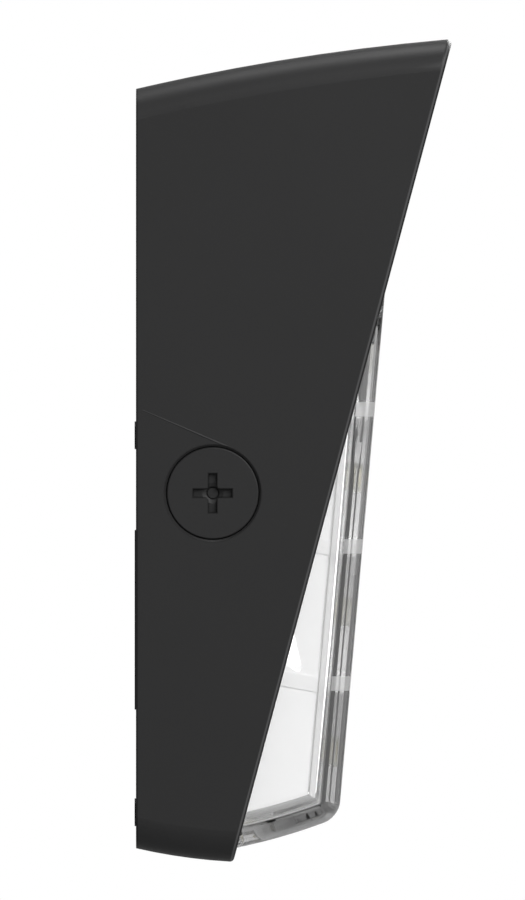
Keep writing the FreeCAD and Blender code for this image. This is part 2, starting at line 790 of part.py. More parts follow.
def make_lens_clips():
    clips = []
    for station in clip_stations:
        inner = lens_half + lens_flange - clip_overlap
        clips += both_sides(slab(inner, inner + clip_length, station - clip_width / 2,
                                 station + clip_width / 2, clip_rear, flange_rear))
    inner = lens_flange_top - clip_overlap
    clips += both_sides(slab(top_clip_offset - clip_width / 2, top_clip_offset + clip_width / 2, inner,
                             inner + clip_length, clip_rear, flange_rear))
    holes = [stud(x, up, clip_rear - overcut, flange_rear + overcut, clip_screw_radius + screw_hole_clearance)
             for x, up in clip_places()]
    return Part.makeCompound([clip.cut(holes) for clip in clips])


def rear_screw(across, up, seat, tip, radius, head_radius, head_height):
    """Screw driven from the rear, with its head behind the seat."""
    shank = stud(across, up, seat, tip, radius)
    head = stud(across, up, seat - head_height, seat, head_radius)
    return joined([shank, head])


def make_lens_clip_screws():
    return Part.makeCompound([rear_screw(x, up, clip_rear, -front_wall - overcut, clip_screw_radius,
                                         clip_head_radius, clip_head_height) for x, up in clip_places()])


def make_gear_tray():
    tray = slab(-tray_half, tray_half, tray_bottom, tray_top, tray_rear, -tray_gap)
    ears = []
    for station in ear_stations:
        ears += both_sides(slab(tray_half - overcut, tray_ear_x + tray_boss_radius, station - tray_ear_half,
                                station + tray_ear_half, tray_rear, -tray_gap))
    holes = [stud(x, up, tray_rear - overcut, -tray_gap + overcut, tray_screw_radius + screw_hole_clearance)
             for x, up in tray_places()]
    holes += [stud(x, up, tray_rear - overcut, -tray_gap + overcut, board_screw_radius + screw_hole_clearance)
              for x, up in board_screw_places()]
    holes += [stud(x, up, tray_rear - overcut, -tray_gap + overcut, driver_screw_radius + screw_hole_clearance)
              for x, up in driver_screw_places()]
    holes.append(stud(0, led_hole_station, tray_rear - overcut, -tray_gap + overcut, led_hole_radius))
    return tray.fuse(ears).cut(holes).removeSplitter()


def make_tray_screws():
    return Part.makeCompound([rear_screw(x, up, tray_rear, -front_wall - 2 * overcut, tray_screw_radius,
                                         tray_head_radius, tray_head_height) for x, up in tray_places()])


def board_screw_places():
    return [(side * board_screw_x, station) for station in board_screw_stations for side in (-1, 1)]


def board_screw_holes():
    return [stud(x, up, tray_rear - overcut, 0, board_screw_radius + screw_hole_clearance)
            for x, up in board_screw_places()]


def make_board_screws():
    screws = []
    for x, up in board_screw_places():
        shank = stud(x, up, tray_rear, reflector_front, board_screw_radius)
        head = stud(x, up, reflector_front, reflector_front + board_head_height, board_head_radius)
        screws.append(joined([shank, head]))
    return Part.makeCompound(screws)


def make_thermal_pad():
    half = board_half - pad_margin
    pad = slab(-half, half, board_bottom + pad_margin, board_top - pad_margin, -tray_gap, board_rear)
    return pad.cut(board_screw_holes())


def make_led_board():
    board = slab(-board_half, board_half, board_bottom, board_top, board_rear, board_front)
    return board.cut(board_screw_holes())


def led_places():
    first = -led_pitch * (led_columns - 1) / 2
    return [(first + led_pitch * column, row) for row in led_rows for column in range(led_columns)]


def make_led_packages():
    packages = []
    for x, up in led_places():
        base = slab(x - led_side / 2, x + led_side / 2, up - led_side / 2, up + led_side / 2,
                    board_front, board_front + led_height)
        dome = on_slant(Part.makeSphere(led_dome_radius, FreeCAD.Vector(x, up, board_front)))
        packages.append(joined([base, dome.common(slab(x - led_side, x + led_side, up - led_side,
                                                       up + led_side, board_front, 0))]))
    return Part.makeCompound(packages)


def make_board_connector():
    half = connector_width / 2
    body = slab(-half, half, board_top - connector_length - overcut, board_top - overcut, board_front,
                board_front + connector_height)
    return body


def make_reflector():
    half = reflector_half
    floor = slab(-half, half, reflector_bottom, reflector_top, board_front, reflector_front)
    slots = []
    for row in led_rows:
        reach = led_pitch * (led_columns - 1) / 2 + led_side / 2 + led_slot_clearance
        slots.append(slab(-reach, reach, row - led_side / 2 - led_slot_clearance,
                          row + led_side / 2 + led_slot_clearance, board_front - overcut,
                          reflector_front + overcut))
    in_front = slab(-half, half, reflector_bottom, reflector_top, board_front, beyond)
    cheek = lens_prism(cheek_inset, half - cheek_thickness, half).common(in_front)
    window = prism(window_corners, -housing_width, housing_width)
    long_edges = [edge for edge in window.Edges if abs(edge.tangentAt(edge.FirstParameter).x) > 0.9]
    window = window.makeFillet(window_rounding, long_edges)
    reach = half + rib_proud
    wide = slab(-reach, reach, reflector_bottom, reflector_top, board_front, beyond)
    inside = lens_prism(cheek_inset, -reach, reach).common(wide)
    ribs = [make_rib(index, reach).common(inside) for index in range(rib_count)]
    body = floor.cut(slots + board_screw_holes())
    return body.fuse(both_sides(cheek) + ribs).cut(window).removeSplitter()


def make_rib(index, half):
    """Cross rib between two rows of packages, drooping a little towards the lens. Its ends stand
    proud of the cheeks."""
    height = rib_front_height + rib_spacing * index
    depth = lens_front_at(height) - cheek_inset
    droop = math.radians(rib_droop)
    along = (math.cos(droop), -math.sin(droop))
    square = (math.sin(droop), math.cos(droop))
    corners = []
    for reach, side in ((0, 1), (0, -1), (-rib_length, -1), (-rib_length, 1)):
        corners.append((depth + along[0] * reach + square[0] * side * rib_thickness / 2,
                        height + along[1] * reach + square[1] * side * rib_thickness / 2))
    return prism(corners, -half, half)


def driver_screw_places():
    return [(side * (driver_width + driver_tab) / 2, driver_bottom + driver_length / 2) for side in (-1, 1)]


driver_floor = tray_rear - driver_wall
driver_rear = tray_rear - driver_height
driver_board_front = driver_floor - driver_board_height
driver_board_rear = driver_board_front - driver_board_thickness
driver_top = driver_bottom + driver_length


def make_driver_case():
    half = driver_width / 2
    outside = slab(-half, half, driver_bottom, driver_top, driver_rear, tray_rear)
    hollow = slab(-half + driver_wall, half - driver_wall, driver_bottom + driver_wall,
                  driver_top - driver_wall, driver_rear - overcut, driver_floor)
    tabs = slab(-half - driver_tab, half + driver_tab, driver_bottom + driver_length / 4,
                driver_top - driver_length / 4, tray_rear - driver_tab_thickness, tray_rear)
    tabs = tabs.cut(slab(-half + driver_wall, half - driver_wall, driver_bottom, driver_top,
                         driver_rear, driver_floor + driver_wall / 2))
    posts = [stud(x, up, driver_board_front, driver_floor, post_radius) for x, up in post_places()]
    holes = [stud(x, up, tray_rear - driver_height, tray_rear + overcut, driver_screw_radius
                  + screw_hole_clearance) for x, up in driver_screw_places()]
    exits = [stud_along(x, driver_bottom - overcut, driver_bottom + driver_wall + overcut,
                        tray_rear - supply_exit_out, supply_lead_radius + screw_hole_clearance)
             for x in supply_places()]
    exits += [stud_along(x, driver_bottom - overcut, driver_bottom + driver_wall + overcut,
                         tray_rear - led_lead_out, led_lead_radius + screw_hole_clearance)
              for x in led_lead_places()]
    return outside.cut(hollow).fuse([tabs] + posts).cut(holes + exits).removeSplitter()


def post_places():
    across = driver_width / 2 - driver_wall - 2 * post_radius
    ends = (driver_bottom + driver_wall + 2 * post_radius, driver_top - driver_wall - 2 * post_radius)
    return [(side * across, up) for side in (-1, 1) for up in ends]


def stud_along(across, bottom, top, out, radius):
    """Round bar that runs up the slope."""
    return on_slant(Part.makeCylinder(radius, top - bottom, FreeCAD.Vector(across, bottom, out),
                                      FreeCAD.Vector(0, 1, 0)))


def make_driver_lid():
    half = driver_width / 2
    return slab(-half, half, driver_bottom, driver_top, driver_rear - driver_lid_thickness, driver_rear)


def make_driver_board():
    half = driver_width / 2 - driver_wall - driver_board_clearance
    return slab(-half, half, driver_bottom + driver_wall + driver_board_clearance,
                driver_top - driver_wall - driver_board_clearance, driver_board_rear, driver_board_front)


def make_driver_transformer():
    width, length, height = transformer_size
    middle = driver_bottom + driver_length / 2
    core = slab(transformer_offset - width / 2, transformer_offset + width / 2, middle - length / 2,
                middle + length / 2, driver_board_rear - height, driver_board_rear)
    winding = stud_along(transformer_offset, middle - length / 2 - transformer_winding_overhang,
                         middle + length / 2 + transformer_winding_overhang,
                         driver_board_rear - height / 2, transformer_winding_radius)
    body = slab(transformer_offset - width, transformer_offset + width, driver_bottom, driver_top,
                driver_board_rear - height, driver_board_rear)
    return joined([core, winding.common(body)])


def make_driver_capacitors():
    cans = [stud(x, driver_bottom + up, driver_board_rear - capacitor_length, driver_board_rear,
                 capacitor_radius) for x, up in capacitor_places]
    return Part.makeCompound(cans)


def make_driver_screws():
    seat = tray_rear - driver_tab_thickness
    return Part.makeCompound([rear_screw(x, up, seat, -tray_gap, driver_screw_radius, driver_head_radius,
                                         driver_head_height) for x, up in driver_screw_places()])


def supply_places():
    return [supply_lead_centre - supply_lead_spacing / 2, supply_lead_centre + supply_lead_spacing / 2]


def led_lead_places():
    return [-led_lead_spacing / 2, led_lead_spacing / 2]


supply_out = tray_rear - supply_exit_out
supply_run = ((driver_bottom + driver_wall, 0.0), (74.0, 0.0), (62.0, -3.0), (51.0, -4.5))


def make_supply_lead(across):
    corners = [slant_point(across, up, supply_out + shift) for up, shift in supply_run]
    return lead(corners, supply_lead_radius)


def make_wire_nut(across):
    """Twist-on connector at the end of a supply lead."""
    last_up, last_shift = supply_run[-1]
    before_up, before_shift = supply_run[-2]
    end = slant_point(across, last_up, supply_out + last_shift)
    along = end - slant_point(across, before_up, supply_out + before_shift)
    return Part.makeCone(nut_large_radius, nut_small_radius, nut_length, end, along)


def make_wire_connectors():
    return Part.makeCompound([make_wire_nut(x) for x in supply_places()])


def make_led_lead(across):
    """Lead from the driver, through the tray, down into the board connector."""
    rear = tray_rear - led_lead_out
    front = board_front + connector_height / 2
    corners = [slant_point(across, driver_bottom + driver_wall, rear),
               slant_point(across, led_hole_station, rear),
               slant_point(across, led_hole_station, front),
               slant_point(across, board_top - overcut, front)]
    return lead(corners, led_lead_radius)


terminal_rear = plate_face + ground_boss_height
terminal_front = terminal_rear + terminal_thickness
barrel_bottom = ground_height + terminal_radius
barrel_depth = terminal_rear + terminal_barrel_radius


def make_ground_terminal():
    eye = ring_out(ground_across, ground_height, terminal_rear, terminal_front, terminal_radius,
                   ground_screw_radius + screw_hole_clearance)
    tongue = block(ground_across - terminal_barrel_radius, ground_across + terminal_barrel_radius,
                   terminal_rear, terminal_front, ground_height + terminal_radius - overcut,
                   barrel_bottom + overcut)
    barrel = Part.makeCylinder(terminal_barrel_radius, terminal_barrel_length,
                               point(ground_across, barrel_depth, barrel_bottom))
    return joined([eye, tongue, barrel])


def make_ground_screw():
    shank = rod_out(ground_across, ground_height, boss_wall_behind + overcut, terminal_front,
                    ground_screw_radius)
    head = rod_out(ground_across, ground_height, terminal_front, terminal_front + ground_head_height,
                   ground_head_radius)
    slot = block(ground_across - ground_head_radius, ground_across + ground_head_radius,
                 terminal_front + ground_head_height / 2, terminal_front + ground_head_height + overcut,
                 ground_height - captive_slot_width / 2, ground_height + captive_slot_width / 2)
    return joined([shank, head]).cut(slot)


ground_lead_start = barrel_bottom + terminal_barrel_length
ground_lead_run = ((0.0, 0.0, 0.0), (0.0, 0.0, 10.0), (-4.0, 3.0, 20.0), (-10.0, 5.0, 28.0))


def ground_lead_corners():
    return [point(ground_across + across, barrel_depth + out, ground_lead_start + rise)
            for across, out, rise in ground_lead_run]


def make_ground_lead():
    return lead(ground_lead_corners(), supply_lead_radius)


def make_ground_connector():
    corners = ground_lead_corners()
    return Part.makeCone(nut_large_radius, nut_small_radius, nut_length, corners[-1], corners[-1] - corners[-2])


def make_pieces():
    """Every separate piece by name."""
    captive_screw = make_captive_screw()
    retainer = make_screw_retainer()
    plug = make_conduit_plug()
    seal = make_plug_seal()
    line_place, neutral_place = supply_places()
    positive_place, negative_place = led_lead_places()
    return {
        "back_plate": make_back_plate(),
        "wall_gasket": make_wall_gasket(),
        "wire_grommet": make_wire_grommet(),
        "body_gasket": make_body_gasket(),
        "ground_screw": make_ground_screw(),
        "ground_terminal": make_ground_terminal(),
        "ground_lead": make_ground_lead(),
        "ground_connector": make_ground_connector(),
        "housing": make_housing(),
        "hinge_pins": make_hinge_pins(),
        "screw_seals": make_screw_seals(),
        "captive_screw_left": mirrored(captive_screw),
        "captive_screw_right": captive_screw,
        "screw_retainer_left": mirrored(retainer),
        "screw_retainer_right": retainer,
        "conduit_plug_left": mirrored(plug),
        "conduit_plug_right": plug,
        "plug_seal_left": mirrored(seal),
        "plug_seal_right": seal,
        "lens": make_lens(),
        "lens_gasket": make_lens_gasket(),
        "lens_clips": make_lens_clips(),
        "lens_clip_screws": make_lens_clip_screws(),
        "gear_tray": make_gear_tray(),
        "tray_screws": make_tray_screws(),
        "thermal_pad": make_thermal_pad(),
        "led_board": make_led_board(),
        "led_packages": make_led_packages(),
        "board_connector": make_board_connector(),
        "board_screws": make_board_screws(),
        "reflector": make_reflector(),
        "driver_case": make_driver_case(),
        "driver_lid": make_driver_lid(),
        "driver_board": make_driver_board(),
        "driver_transformer": make_driver_transformer(),
        "driver_capacitors": make_driver_capacitors(),
        "driver_screws": make_driver_screws(),
        "line_lead": make_supply_lead(line_place),
        "neutral_lead": make_supply_lead(neutral_place),
        "wire_connectors": make_wire_connectors(),
        "led_lead_positive": make_led_lead(positive_place),
        "led_lead_negative": make_led_lead(negative_place),
    }


pieces = make_pieces()
os.makedirs("parts", exist_ok=True)
for name, shape in pieces.items():
    shape.exportStep("parts/" + name + ".step")
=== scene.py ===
import math

import bmesh
import bpy
from bpy.props import FloatProperty, FloatVectorProperty, IntProperty, PointerProperty
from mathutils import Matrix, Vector


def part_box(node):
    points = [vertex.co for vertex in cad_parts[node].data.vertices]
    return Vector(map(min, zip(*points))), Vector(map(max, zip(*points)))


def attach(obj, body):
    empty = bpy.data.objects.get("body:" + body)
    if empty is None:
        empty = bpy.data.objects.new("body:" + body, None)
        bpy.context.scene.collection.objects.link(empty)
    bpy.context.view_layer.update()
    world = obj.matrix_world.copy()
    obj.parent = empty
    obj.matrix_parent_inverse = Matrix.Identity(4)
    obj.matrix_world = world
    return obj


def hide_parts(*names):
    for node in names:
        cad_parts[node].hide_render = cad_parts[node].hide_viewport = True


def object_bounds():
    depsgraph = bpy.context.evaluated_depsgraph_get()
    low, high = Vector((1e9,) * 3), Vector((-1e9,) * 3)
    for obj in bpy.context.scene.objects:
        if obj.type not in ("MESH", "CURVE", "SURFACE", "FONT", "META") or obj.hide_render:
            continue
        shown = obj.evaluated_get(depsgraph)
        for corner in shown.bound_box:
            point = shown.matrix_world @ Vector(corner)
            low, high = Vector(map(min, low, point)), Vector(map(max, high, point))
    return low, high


bl_info = {
    "name": "Wall Pack Light",
    "version": (1, 0, 0),
    "blender": (4, 5, 0),
    "location": "View3D > Sidebar > Wall Pack",
    "description": "Finishes, clear lens and studio for a hinged wall pack light",
    "category": "Object",
}

MM = 0.001
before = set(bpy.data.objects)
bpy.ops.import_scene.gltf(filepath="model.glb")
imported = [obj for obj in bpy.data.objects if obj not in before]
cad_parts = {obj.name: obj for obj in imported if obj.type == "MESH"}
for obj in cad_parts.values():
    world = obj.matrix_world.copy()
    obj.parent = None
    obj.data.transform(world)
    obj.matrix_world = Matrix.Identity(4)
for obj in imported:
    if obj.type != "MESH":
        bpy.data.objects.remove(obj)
cad_low, cad_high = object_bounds()

HOUSING_BODY = "housing_body"

# The slanted front: its depth at the origin's height, its lean, and the way out of it
SLANT_DEPTH = 44.55 * MM
SLANT_ANGLE = math.radians(14.94)
SLANT_ORIGIN = Vector((0, -SLANT_DEPTH, 0))
SLANT_OUT = Vector((0, -math.cos(SLANT_ANGLE), -math.sin(SLANT_ANGLE)))


# Shader building -------------------------------------------------------------------------------

class Field:
    """A value that varies over a surface or with direction; arithmetic on it adds the nodes."""

    def __init__(self, nodes, socket):
        self.nodes = nodes
        self.socket = socket

    def __add__(self, other):
        return self.nodes.maths("ADD", self, other)

    def __sub__(self, other):
        return self.nodes.maths("SUBTRACT", self, other)

    def __mul__(self, other):
        return self.nodes.maths("MULTIPLY", self, other)

    def __radd__(self, other):
        return self.nodes.maths("ADD", other, self)

    def __rsub__(self, other):
        return self.nodes.maths("SUBTRACT", other, self)

    def __rmul__(self, other):
        return self.nodes.maths("MULTIPLY", other, self)

    def __abs__(self):
        return self.nodes.maths("ABSOLUTE", self)


class Nodes:
    """A node tree that is cleared and filled again."""

    def __init__(self, owner):
        owner.use_nodes = True
        self.tree = owner.node_tree
        self.tree.nodes.clear()

    def node(self, kind, settings, inputs, output=0):
        """Add a node: its settings first, then the values or links of its sockets."""
        made = self.tree.nodes.new(kind)
        for key, value in settings.items():
            setattr(made, key, value)
        for key, value in inputs.items():
            self.fill(made.inputs[key], value)
        return Field(self, made.outputs[output]) if made.outputs else made

    def fill(self, socket, value):
        if isinstance(value, Field):
            self.tree.links.new(value.socket, socket)
        else:
            socket.default_value = value

    def maths(self, operation, first, second=0.0):
        return self.node("ShaderNodeMath", {"operation": operation}, {0: first, 1: second})

    def larger(self, first, second):
        return self.maths("MAXIMUM", first, second)

    def smaller(self, first, second):
        return self.maths("MINIMUM", first, second)

    def ramp(self, value, start, end):
        """Rise from 0 to 1, smoothly, while the value goes from start to end."""
        return self.node("ShaderNodeMapRange", {"interpolation_type": "SMOOTHSTEP"},
                         {"Value": value, "From Min": start, "From Max": end})

    def axis(self, vector, index):
        return self.node("ShaderNodeSeparateXYZ", {}, {0: vector}, index)

    def ray(self, kind):
        """1 for rays of this kind, and 0 for all others."""
        return self.node("ShaderNodeLightPath", {}, {}, kind)

    def gloss_or_glass(self):
        """1 for what gloss and glass show."""
        return self.larger(self.ray("Is Glossy Ray"), self.ray("Is Transmission Ray"))

    def mix(self, factor, first, second):
        return self.node("ShaderNodeMixShader", {}, {0: factor, 1: first, 2: second})


class Finish(Nodes):
    """One material with a Principled shader."""

    def __init__(self, name, colour, roughness, **constants):
        self.material = bpy.data.materials.new(name)
        super().__init__(self.material)
        self.output = self.tree.nodes.new("ShaderNodeOutputMaterial")
        self.shader = self.tree.nodes.new("ShaderNodeBsdfPrincipled")
        self.surface(self.principled())
        self.feed("Base Color", opaque(colour))
        self.feed("Roughness", roughness)
        for socket, value in constants.items():
            self.feed(socket.replace("_", " "), value)

    def principled(self):
        return Field(self, self.shader.outputs["BSDF"])

    def surface(self, shader):
        self.fill(self.output.inputs["Surface"], shader)

    def feed(self, socket, value):
        self.fill(self.shader.inputs[socket], value)

    def clamp(self, value):
        return self.node("ShaderNodeClamp", {}, {"Value": value})

    def place(self):
        """Position on the piece, in metres."""
        return self.node("ShaderNodeTexCoord", {}, {}, "Object")

    def sideways(self):
        """Distance from the middle of the light towards its sides."""
        return abs(self.axis(self.place(), 0))

    def noise(self, size, detail=2.0, roughness=0.5):
        """Cloudy value from 0 to 1, whose patches are about this size in metres."""
        return self.node("ShaderNodeTexNoise", {}, {
            "Vector": self.place(), "Scale": 1 / size, "Detail": detail, "Roughness": roughness})

    def blend(self, amount, first, second):
        """Colour between two colours."""
        return self.node("ShaderNodeMix", {"data_type": "RGBA"},
                         {0: amount, 6: first, 7: second}, 2)

    def bump(self, height, distance):
        """Relief whose height of 1 stands this far out, in metres."""
        self.feed("Normal", self.node("ShaderNodeBump", {}, {
            "Height": height, "Distance": distance, "Strength": 1.0}))


def opaque(colour):
    return (*colour, 1.0)


def shade(colour, factor):
    return tuple(channel * factor for channel in colour)


def coat(names, material):
    """Give CAD nodes a finish."""
    for name in names:
        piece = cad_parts[name]
        piece.data.materials.clear()
        piece.data.materials.append(material)


# Sizes and colours that a user would change ----------------------------------------------------

class CoatSettings(bpy.types.PropertyGroup):
    colour: FloatVectorProperty(
        name="Coat", description="Charcoal powder coat", subtype="COLOR", size=3,
        default=(0.0165, 0.0165, 0.0168))
    roughness: FloatProperty(
        name="Roughness", description="Roughness of the coat", default=0.45)
    gloss: FloatProperty(
        name="Gloss", description="Specular level of the coat", default=0.2)
    grain: FloatProperty(
        name="Grain", description="Size of the coat's texture", default=0.6 * MM,
        unit="LENGTH", precision=5)
    relief: FloatProperty(
        name="Relief", description="Height of the coat's texture", default=0.012 * MM,
        unit="LENGTH", precision=6)
    speckle: FloatProperty(
        name="Speckle", description="How much the colour varies", default=0.06)
    # Painted highlight: how much lighter the coat is painted along the rounding behind the slanted
    # front
    edge_highlight: FloatProperty(
        name="Edge highlight", description="How much lighter the coat is on the front edge",
        default=2.4)


class LensSettings(bpy.types.PropertyGroup):
    half_width: FloatProperty(
        name="Half width", description="From the middle to a side", default=86 * MM,
        unit="LENGTH", precision=4)
    proud: FloatProperty(
        name="Proud", description="How far the front stands out at the origin's height",
        default=16.31 * MM, unit="LENGTH", precision=4)
    lean: FloatProperty(
        name="Lean", description="Lean of the front from upright",
        default=math.radians(5.03), subtype="ANGLE")
    wall: FloatProperty(
        name="Side wall", description="Thickness of the glass at the sides",
        default=4 * MM, unit="LENGTH", precision=4)
    front_wall: FloatProperty(
        name="Front wall", description="Thickness of the glass at the front and the underside",
        default=5.4 * MM, unit="LENGTH", precision=4)
    inner_radius: FloatProperty(
        name="Inner rounding", description="Rounding of the inside's edges",
        default=0.7 * MM, unit="LENGTH", precision=4)
    side_radius: FloatProperty(
        name="Side rounding", description="Rounding from the sides to the front",
        default=6.1 * MM, unit="LENGTH", precision=4)
    corner_radius: FloatProperty(
        name="Corner rounding", description="Rounding of the lower front corner",
        default=7 * MM, unit="LENGTH", precision=4)
    colour: FloatVectorProperty(
        name="Glass", description="Tint of the glass", subtype="COLOR", size=3,
        default=(0.99, 0.99, 0.99))
    flutes: IntProperty(
        name="Flutes", description="Number of flutes inside the front", default=44)
    flute_depth: FloatProperty(
        name="Flute depth", description="Height of a flute's ridge", default=0.9 * MM,
        unit="LENGTH", precision=5)
    flute_rise: FloatProperty(
        name="Flute rise",
        description="Distance from the sides over which the flutes grow to their full height",
        default=16 * MM, unit="LENGTH", precision=4)
    floor_ridge: FloatProperty(
        name="Floor ridge",
        description="Share of a flute's height that is left along the underside", default=0.6)
    heel_end: FloatProperty(
        name="Heel end",
        description="Depth in front of which the underside's ridges lose their full height",
        default=36.5 * MM, unit="LENGTH", precision=4)
    side_segments: IntProperty(
        name="Side facets", description="Facets of the inside's side rounding", default=10)
    absorption: FloatProperty(
        name="Absorption", description="How fast the glass takes light in, per metre",
        default=8.5)
    frost: FloatVectorProperty(
        name="Frost", description="Colour of the frosted bands", subtype="COLOR", size=3,
        default=(0.54, 0.54, 0.54))
    frost_cover: FloatProperty(
        name="Frost cover", description="How much a frosted band hides", default=0.47)
    band_height: FloatProperty(
        name="Band height", description="Height of a frosted band", default=4 * MM,
        unit="LENGTH", precision=4)
    band_levels: FloatVectorProperty(
        name="Band levels", description="Heights of the frosted bands", size=3,
        unit="LENGTH", default=(59.0 * MM, 21.3 * MM, -16.4 * MM))


class LampSettings(bpy.types.PropertyGroup):
    reflector: FloatVectorProperty(
        name="Reflector", description="White moulding", subtype="COLOR", size=3,
        default=(0.92, 0.92, 0.92))
    lip_gap: FloatProperty(
        name="Lip gap", description="From the lens's inside to the reflector",
        default=2 * MM, unit="LENGTH", precision=4)
    lip_start: FloatProperty(
        name="Lip start", description="Where the lip starts behind the lens's front",
        default=8.8 * MM, unit="LENGTH", precision=4)
    lip_width: FloatProperty(
        name="Lip width", description="Width and rounding of the lip",
        default=1.25 * MM, unit="LENGTH", precision=4)
    lip_proud: FloatProperty(
        name="Lip step", description="How far the lip stands proud of the cheek",
        default=0.15 * MM, unit="LENGTH", precision=5)
    lip_sheet: FloatProperty(
        name="Lip thickness", description="Thickness of the lip's sheet",
        default=0.6 * MM, unit="LENGTH", precision=5)
    lip_reach: FloatProperty(
        name="Lip reach", description="How far the lip runs on behind the slanted front",
        default=4.0 * MM, unit="LENGTH", precision=4)
    lip_top: FloatProperty(
        name="Lip top", description="Upper end of the lip", default=68.0 * MM,
        unit="LENGTH", precision=4)
    lip_facets: IntProperty(
        name="Lip facets", description="Facets of the lip's rounding", default=8)
    # Painted shade: how light the lip is painted beside the cheek, standing in for the shade on its
    # rounding
    lip_shade_tone: FloatProperty(
        name="Lip shade", description="How light the shade-painted lip is beside the cheek",
        default=0.66)
    lip_turn: IntProperty(
        name="Lip turn", description="Point of the lip's outline where its underside begins",
        default=11)
    # Painted shade: the lip's underside is painted darker still
    under_shade_tone: FloatProperty(
        name="Underside shade", description="How light the lip's underside is beside the cheek",
        default=0.40)
    board: FloatVectorProperty(
        name="Board", description="White solder mask", subtype="COLOR", size=3,
        default=(0.78, 0.78, 0.75))
    phosphor: FloatVectorProperty(
        name="Phosphor", description="Yellow silicone over the chips", subtype="COLOR", size=3,
        default=(0.80, 0.77, 0.65))


class StageSettings(bpy.types.PropertyGroup):
    floor_drop: FloatProperty(
        name="Floor", description="How far the floor lies below the light", default=0.35,
        unit="LENGTH")
    floor_size: FloatProperty(
        name="Floor size", description="Width of the floor", default=24.0, unit="LENGTH")
    floor_dim: FloatProperty(
        name="Floor in gloss", description="How much darker gloss shows the floor",
        default=0.85)
    ambient: FloatProperty(
        name="Ambient", description="Level of the even light", default=0.42)
    studio_wall: FloatProperty(
        name="Studio walls",
        description="Level that gloss and glass show of the studio's grey walls", default=0.42)
    side_wall_start: FloatProperty(
        name="Side walls start",
        description="Sideways share of a direction where the side walls begin", default=0.994)
    side_wall_end: FloatProperty(
        name="Side walls end",
        description="Sideways share of a direction where the side walls are white",
        default=0.999)
    focal_length: FloatProperty(
        name="Lens", description="Focal length of the camera, in millimetres", default=900.0)
    view_height: FloatProperty(
        name="View height", description="Height that the picture covers", default=0.2466,
        unit="LENGTH", precision=4)
    view_depth: FloatProperty(
        name="View depth", description="Depth at the middle of the picture",
        default=0.03518, unit="LENGTH", precision=4)
    view_level: FloatProperty(
        name="View level", description="Height at the middle of the picture",
        default=0.0478, unit="LENGTH", precision=4)


class WallPackSettings(bpy.types.PropertyGroup):
    coat: PointerProperty(type=CoatSettings)
    lens: PointerProperty(type=LensSettings)
    lamp: PointerProperty(type=LampSettings)
    stage: PointerProperty(type=StageSettings)


def settings():
    return bpy.context.scene.wall_pack


# Finishes --------------------------------------------------------------------------------------

# How strongly the coat's fine grain and its broad clouds colour it, and the clouds' size in grains
GRAIN_CONTRAST = 1.6
CLOUD_CONTRAST = 0.5
CLOUD_GRAINS = 60
# Tone of the painted shade, beside the coat's colour
PAINTED_SHADE_TONE = 0.2

# Where the housing's painted highlight and painted shade begin and where they are full: along the
# way out of the slanted front, along Y, and from the middle of the light to its sides
FRONT_RIM = (-0.50 * MM, -0.35 * MM)
HIGHLIGHT_LINE = (-1.05 * MM, -0.85 * MM)
BACK_EDGE = (-1.1 * MM, -0.9 * MM)
SIDE_FACE = (103 * MM, 104 * MM)
RIM_STRENGTH = 0.8

# The plug's cross recess and the round boss in it, whose walls get painted shade, and the painted
# shade in a ring round the plug
CROSS_REACH = 5.4 * MM
CROSS_HALF_WIDTH = 1.18 * MM
CROSS_LINE = 0.22 * MM
BOSS_RADIUS = 1.7 * MM
BOSS_LINE = 0.2 * MM
RING_RADIUS = 13.2 * MM
RING_LINE = 0.4 * MM
RING_STRENGTH = 0.25

# How light the ends of the reflector's ribs are beside its cheeks, and over what distance
PROUD_TONE = 0.93
PROUD_STEP = 0.1 * MM

METAL_LINES_PER_METRE = 1500.0

# How far each finish's roughness swings
COAT_SWING = 0.08
PLASTIC_SWING = 0.1
METAL_LINE_SWING = 0.25
METAL_CLOUD_SWING = 0.1


def powder_coat(name, options, factor=1.0, painted_light=None):
    """Fine-textured powder coat, with painted highlight and shade where the last argument says."""
    colour = shade(options.colour, factor)
    finish = Finish(name, colour, options.roughness, Specular_IOR_Level=options.gloss)
    fine = finish.noise(options.grain, detail=3.0, roughness=0.6)
    cloud = finish.noise(CLOUD_GRAINS * options.grain)
    tone = finish.clamp((fine - 0.5) * GRAIN_CONTRAST + (cloud - 0.5) * CLOUD_CONTRAST + 0.5)
    coated = finish.blend(tone, opaque(shade(colour, 1 - options.speckle)),
                          opaque(shade(colour, 1 + options.speckle)))
    if painted_light:
        # Painted highlight lightens the coat, and painted shade darkens it
        light, painted_shade = painted_light(finish)
        if light:
            coated = finish.blend(light, coated, opaque(shade(colour, 1 + options.edge_highlight)))
        coated = finish.blend(painted_shade, coated, opaque(shade(colour, PAINTED_SHADE_TONE)))
    finish.feed("Base Color", coated)
    finish.feed("Roughness", options.roughness + (cloud - 0.5) * COAT_SWING)
    finish.bump(fine, options.relief)
    return finish.material


def plug_distances(finish):
    """Distances from the plug's middle: outwards from the wall, upwards, and straight."""
    low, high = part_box("conduit_plug_left")
    place = finish.place()
    along, above = (abs(finish.axis(place, way) - (low[way] + high[way]) / 2) for way in (1, 2))
    return along, above, finish.maths("SQRT", along * along + above * above)


def near_line(finish, distance, half_width):
    """1 on a line, where the distance is 0, and 0 away from it."""
    return 1 - finish.ramp(abs(distance), 0.5 * half_width, 1.5 * half_width)


def plug_painted_shade(finish):
    """Painted shade on the walls of the cross recess and of the round boss in it. No painted
    highlight.
    """
    along, above, from_middle = plug_distances(finish)
    level = finish.larger(along - CROSS_REACH, above - CROSS_HALF_WIDTH)
    upright = finish.larger(above - CROSS_REACH, along - CROSS_HALF_WIDTH)
    cross = near_line(finish, finish.smaller(level, upright), CROSS_LINE)
    boss = near_line(finish, from_middle - BOSS_RADIUS, BOSS_LINE)
    return None, finish.larger(cross, boss)


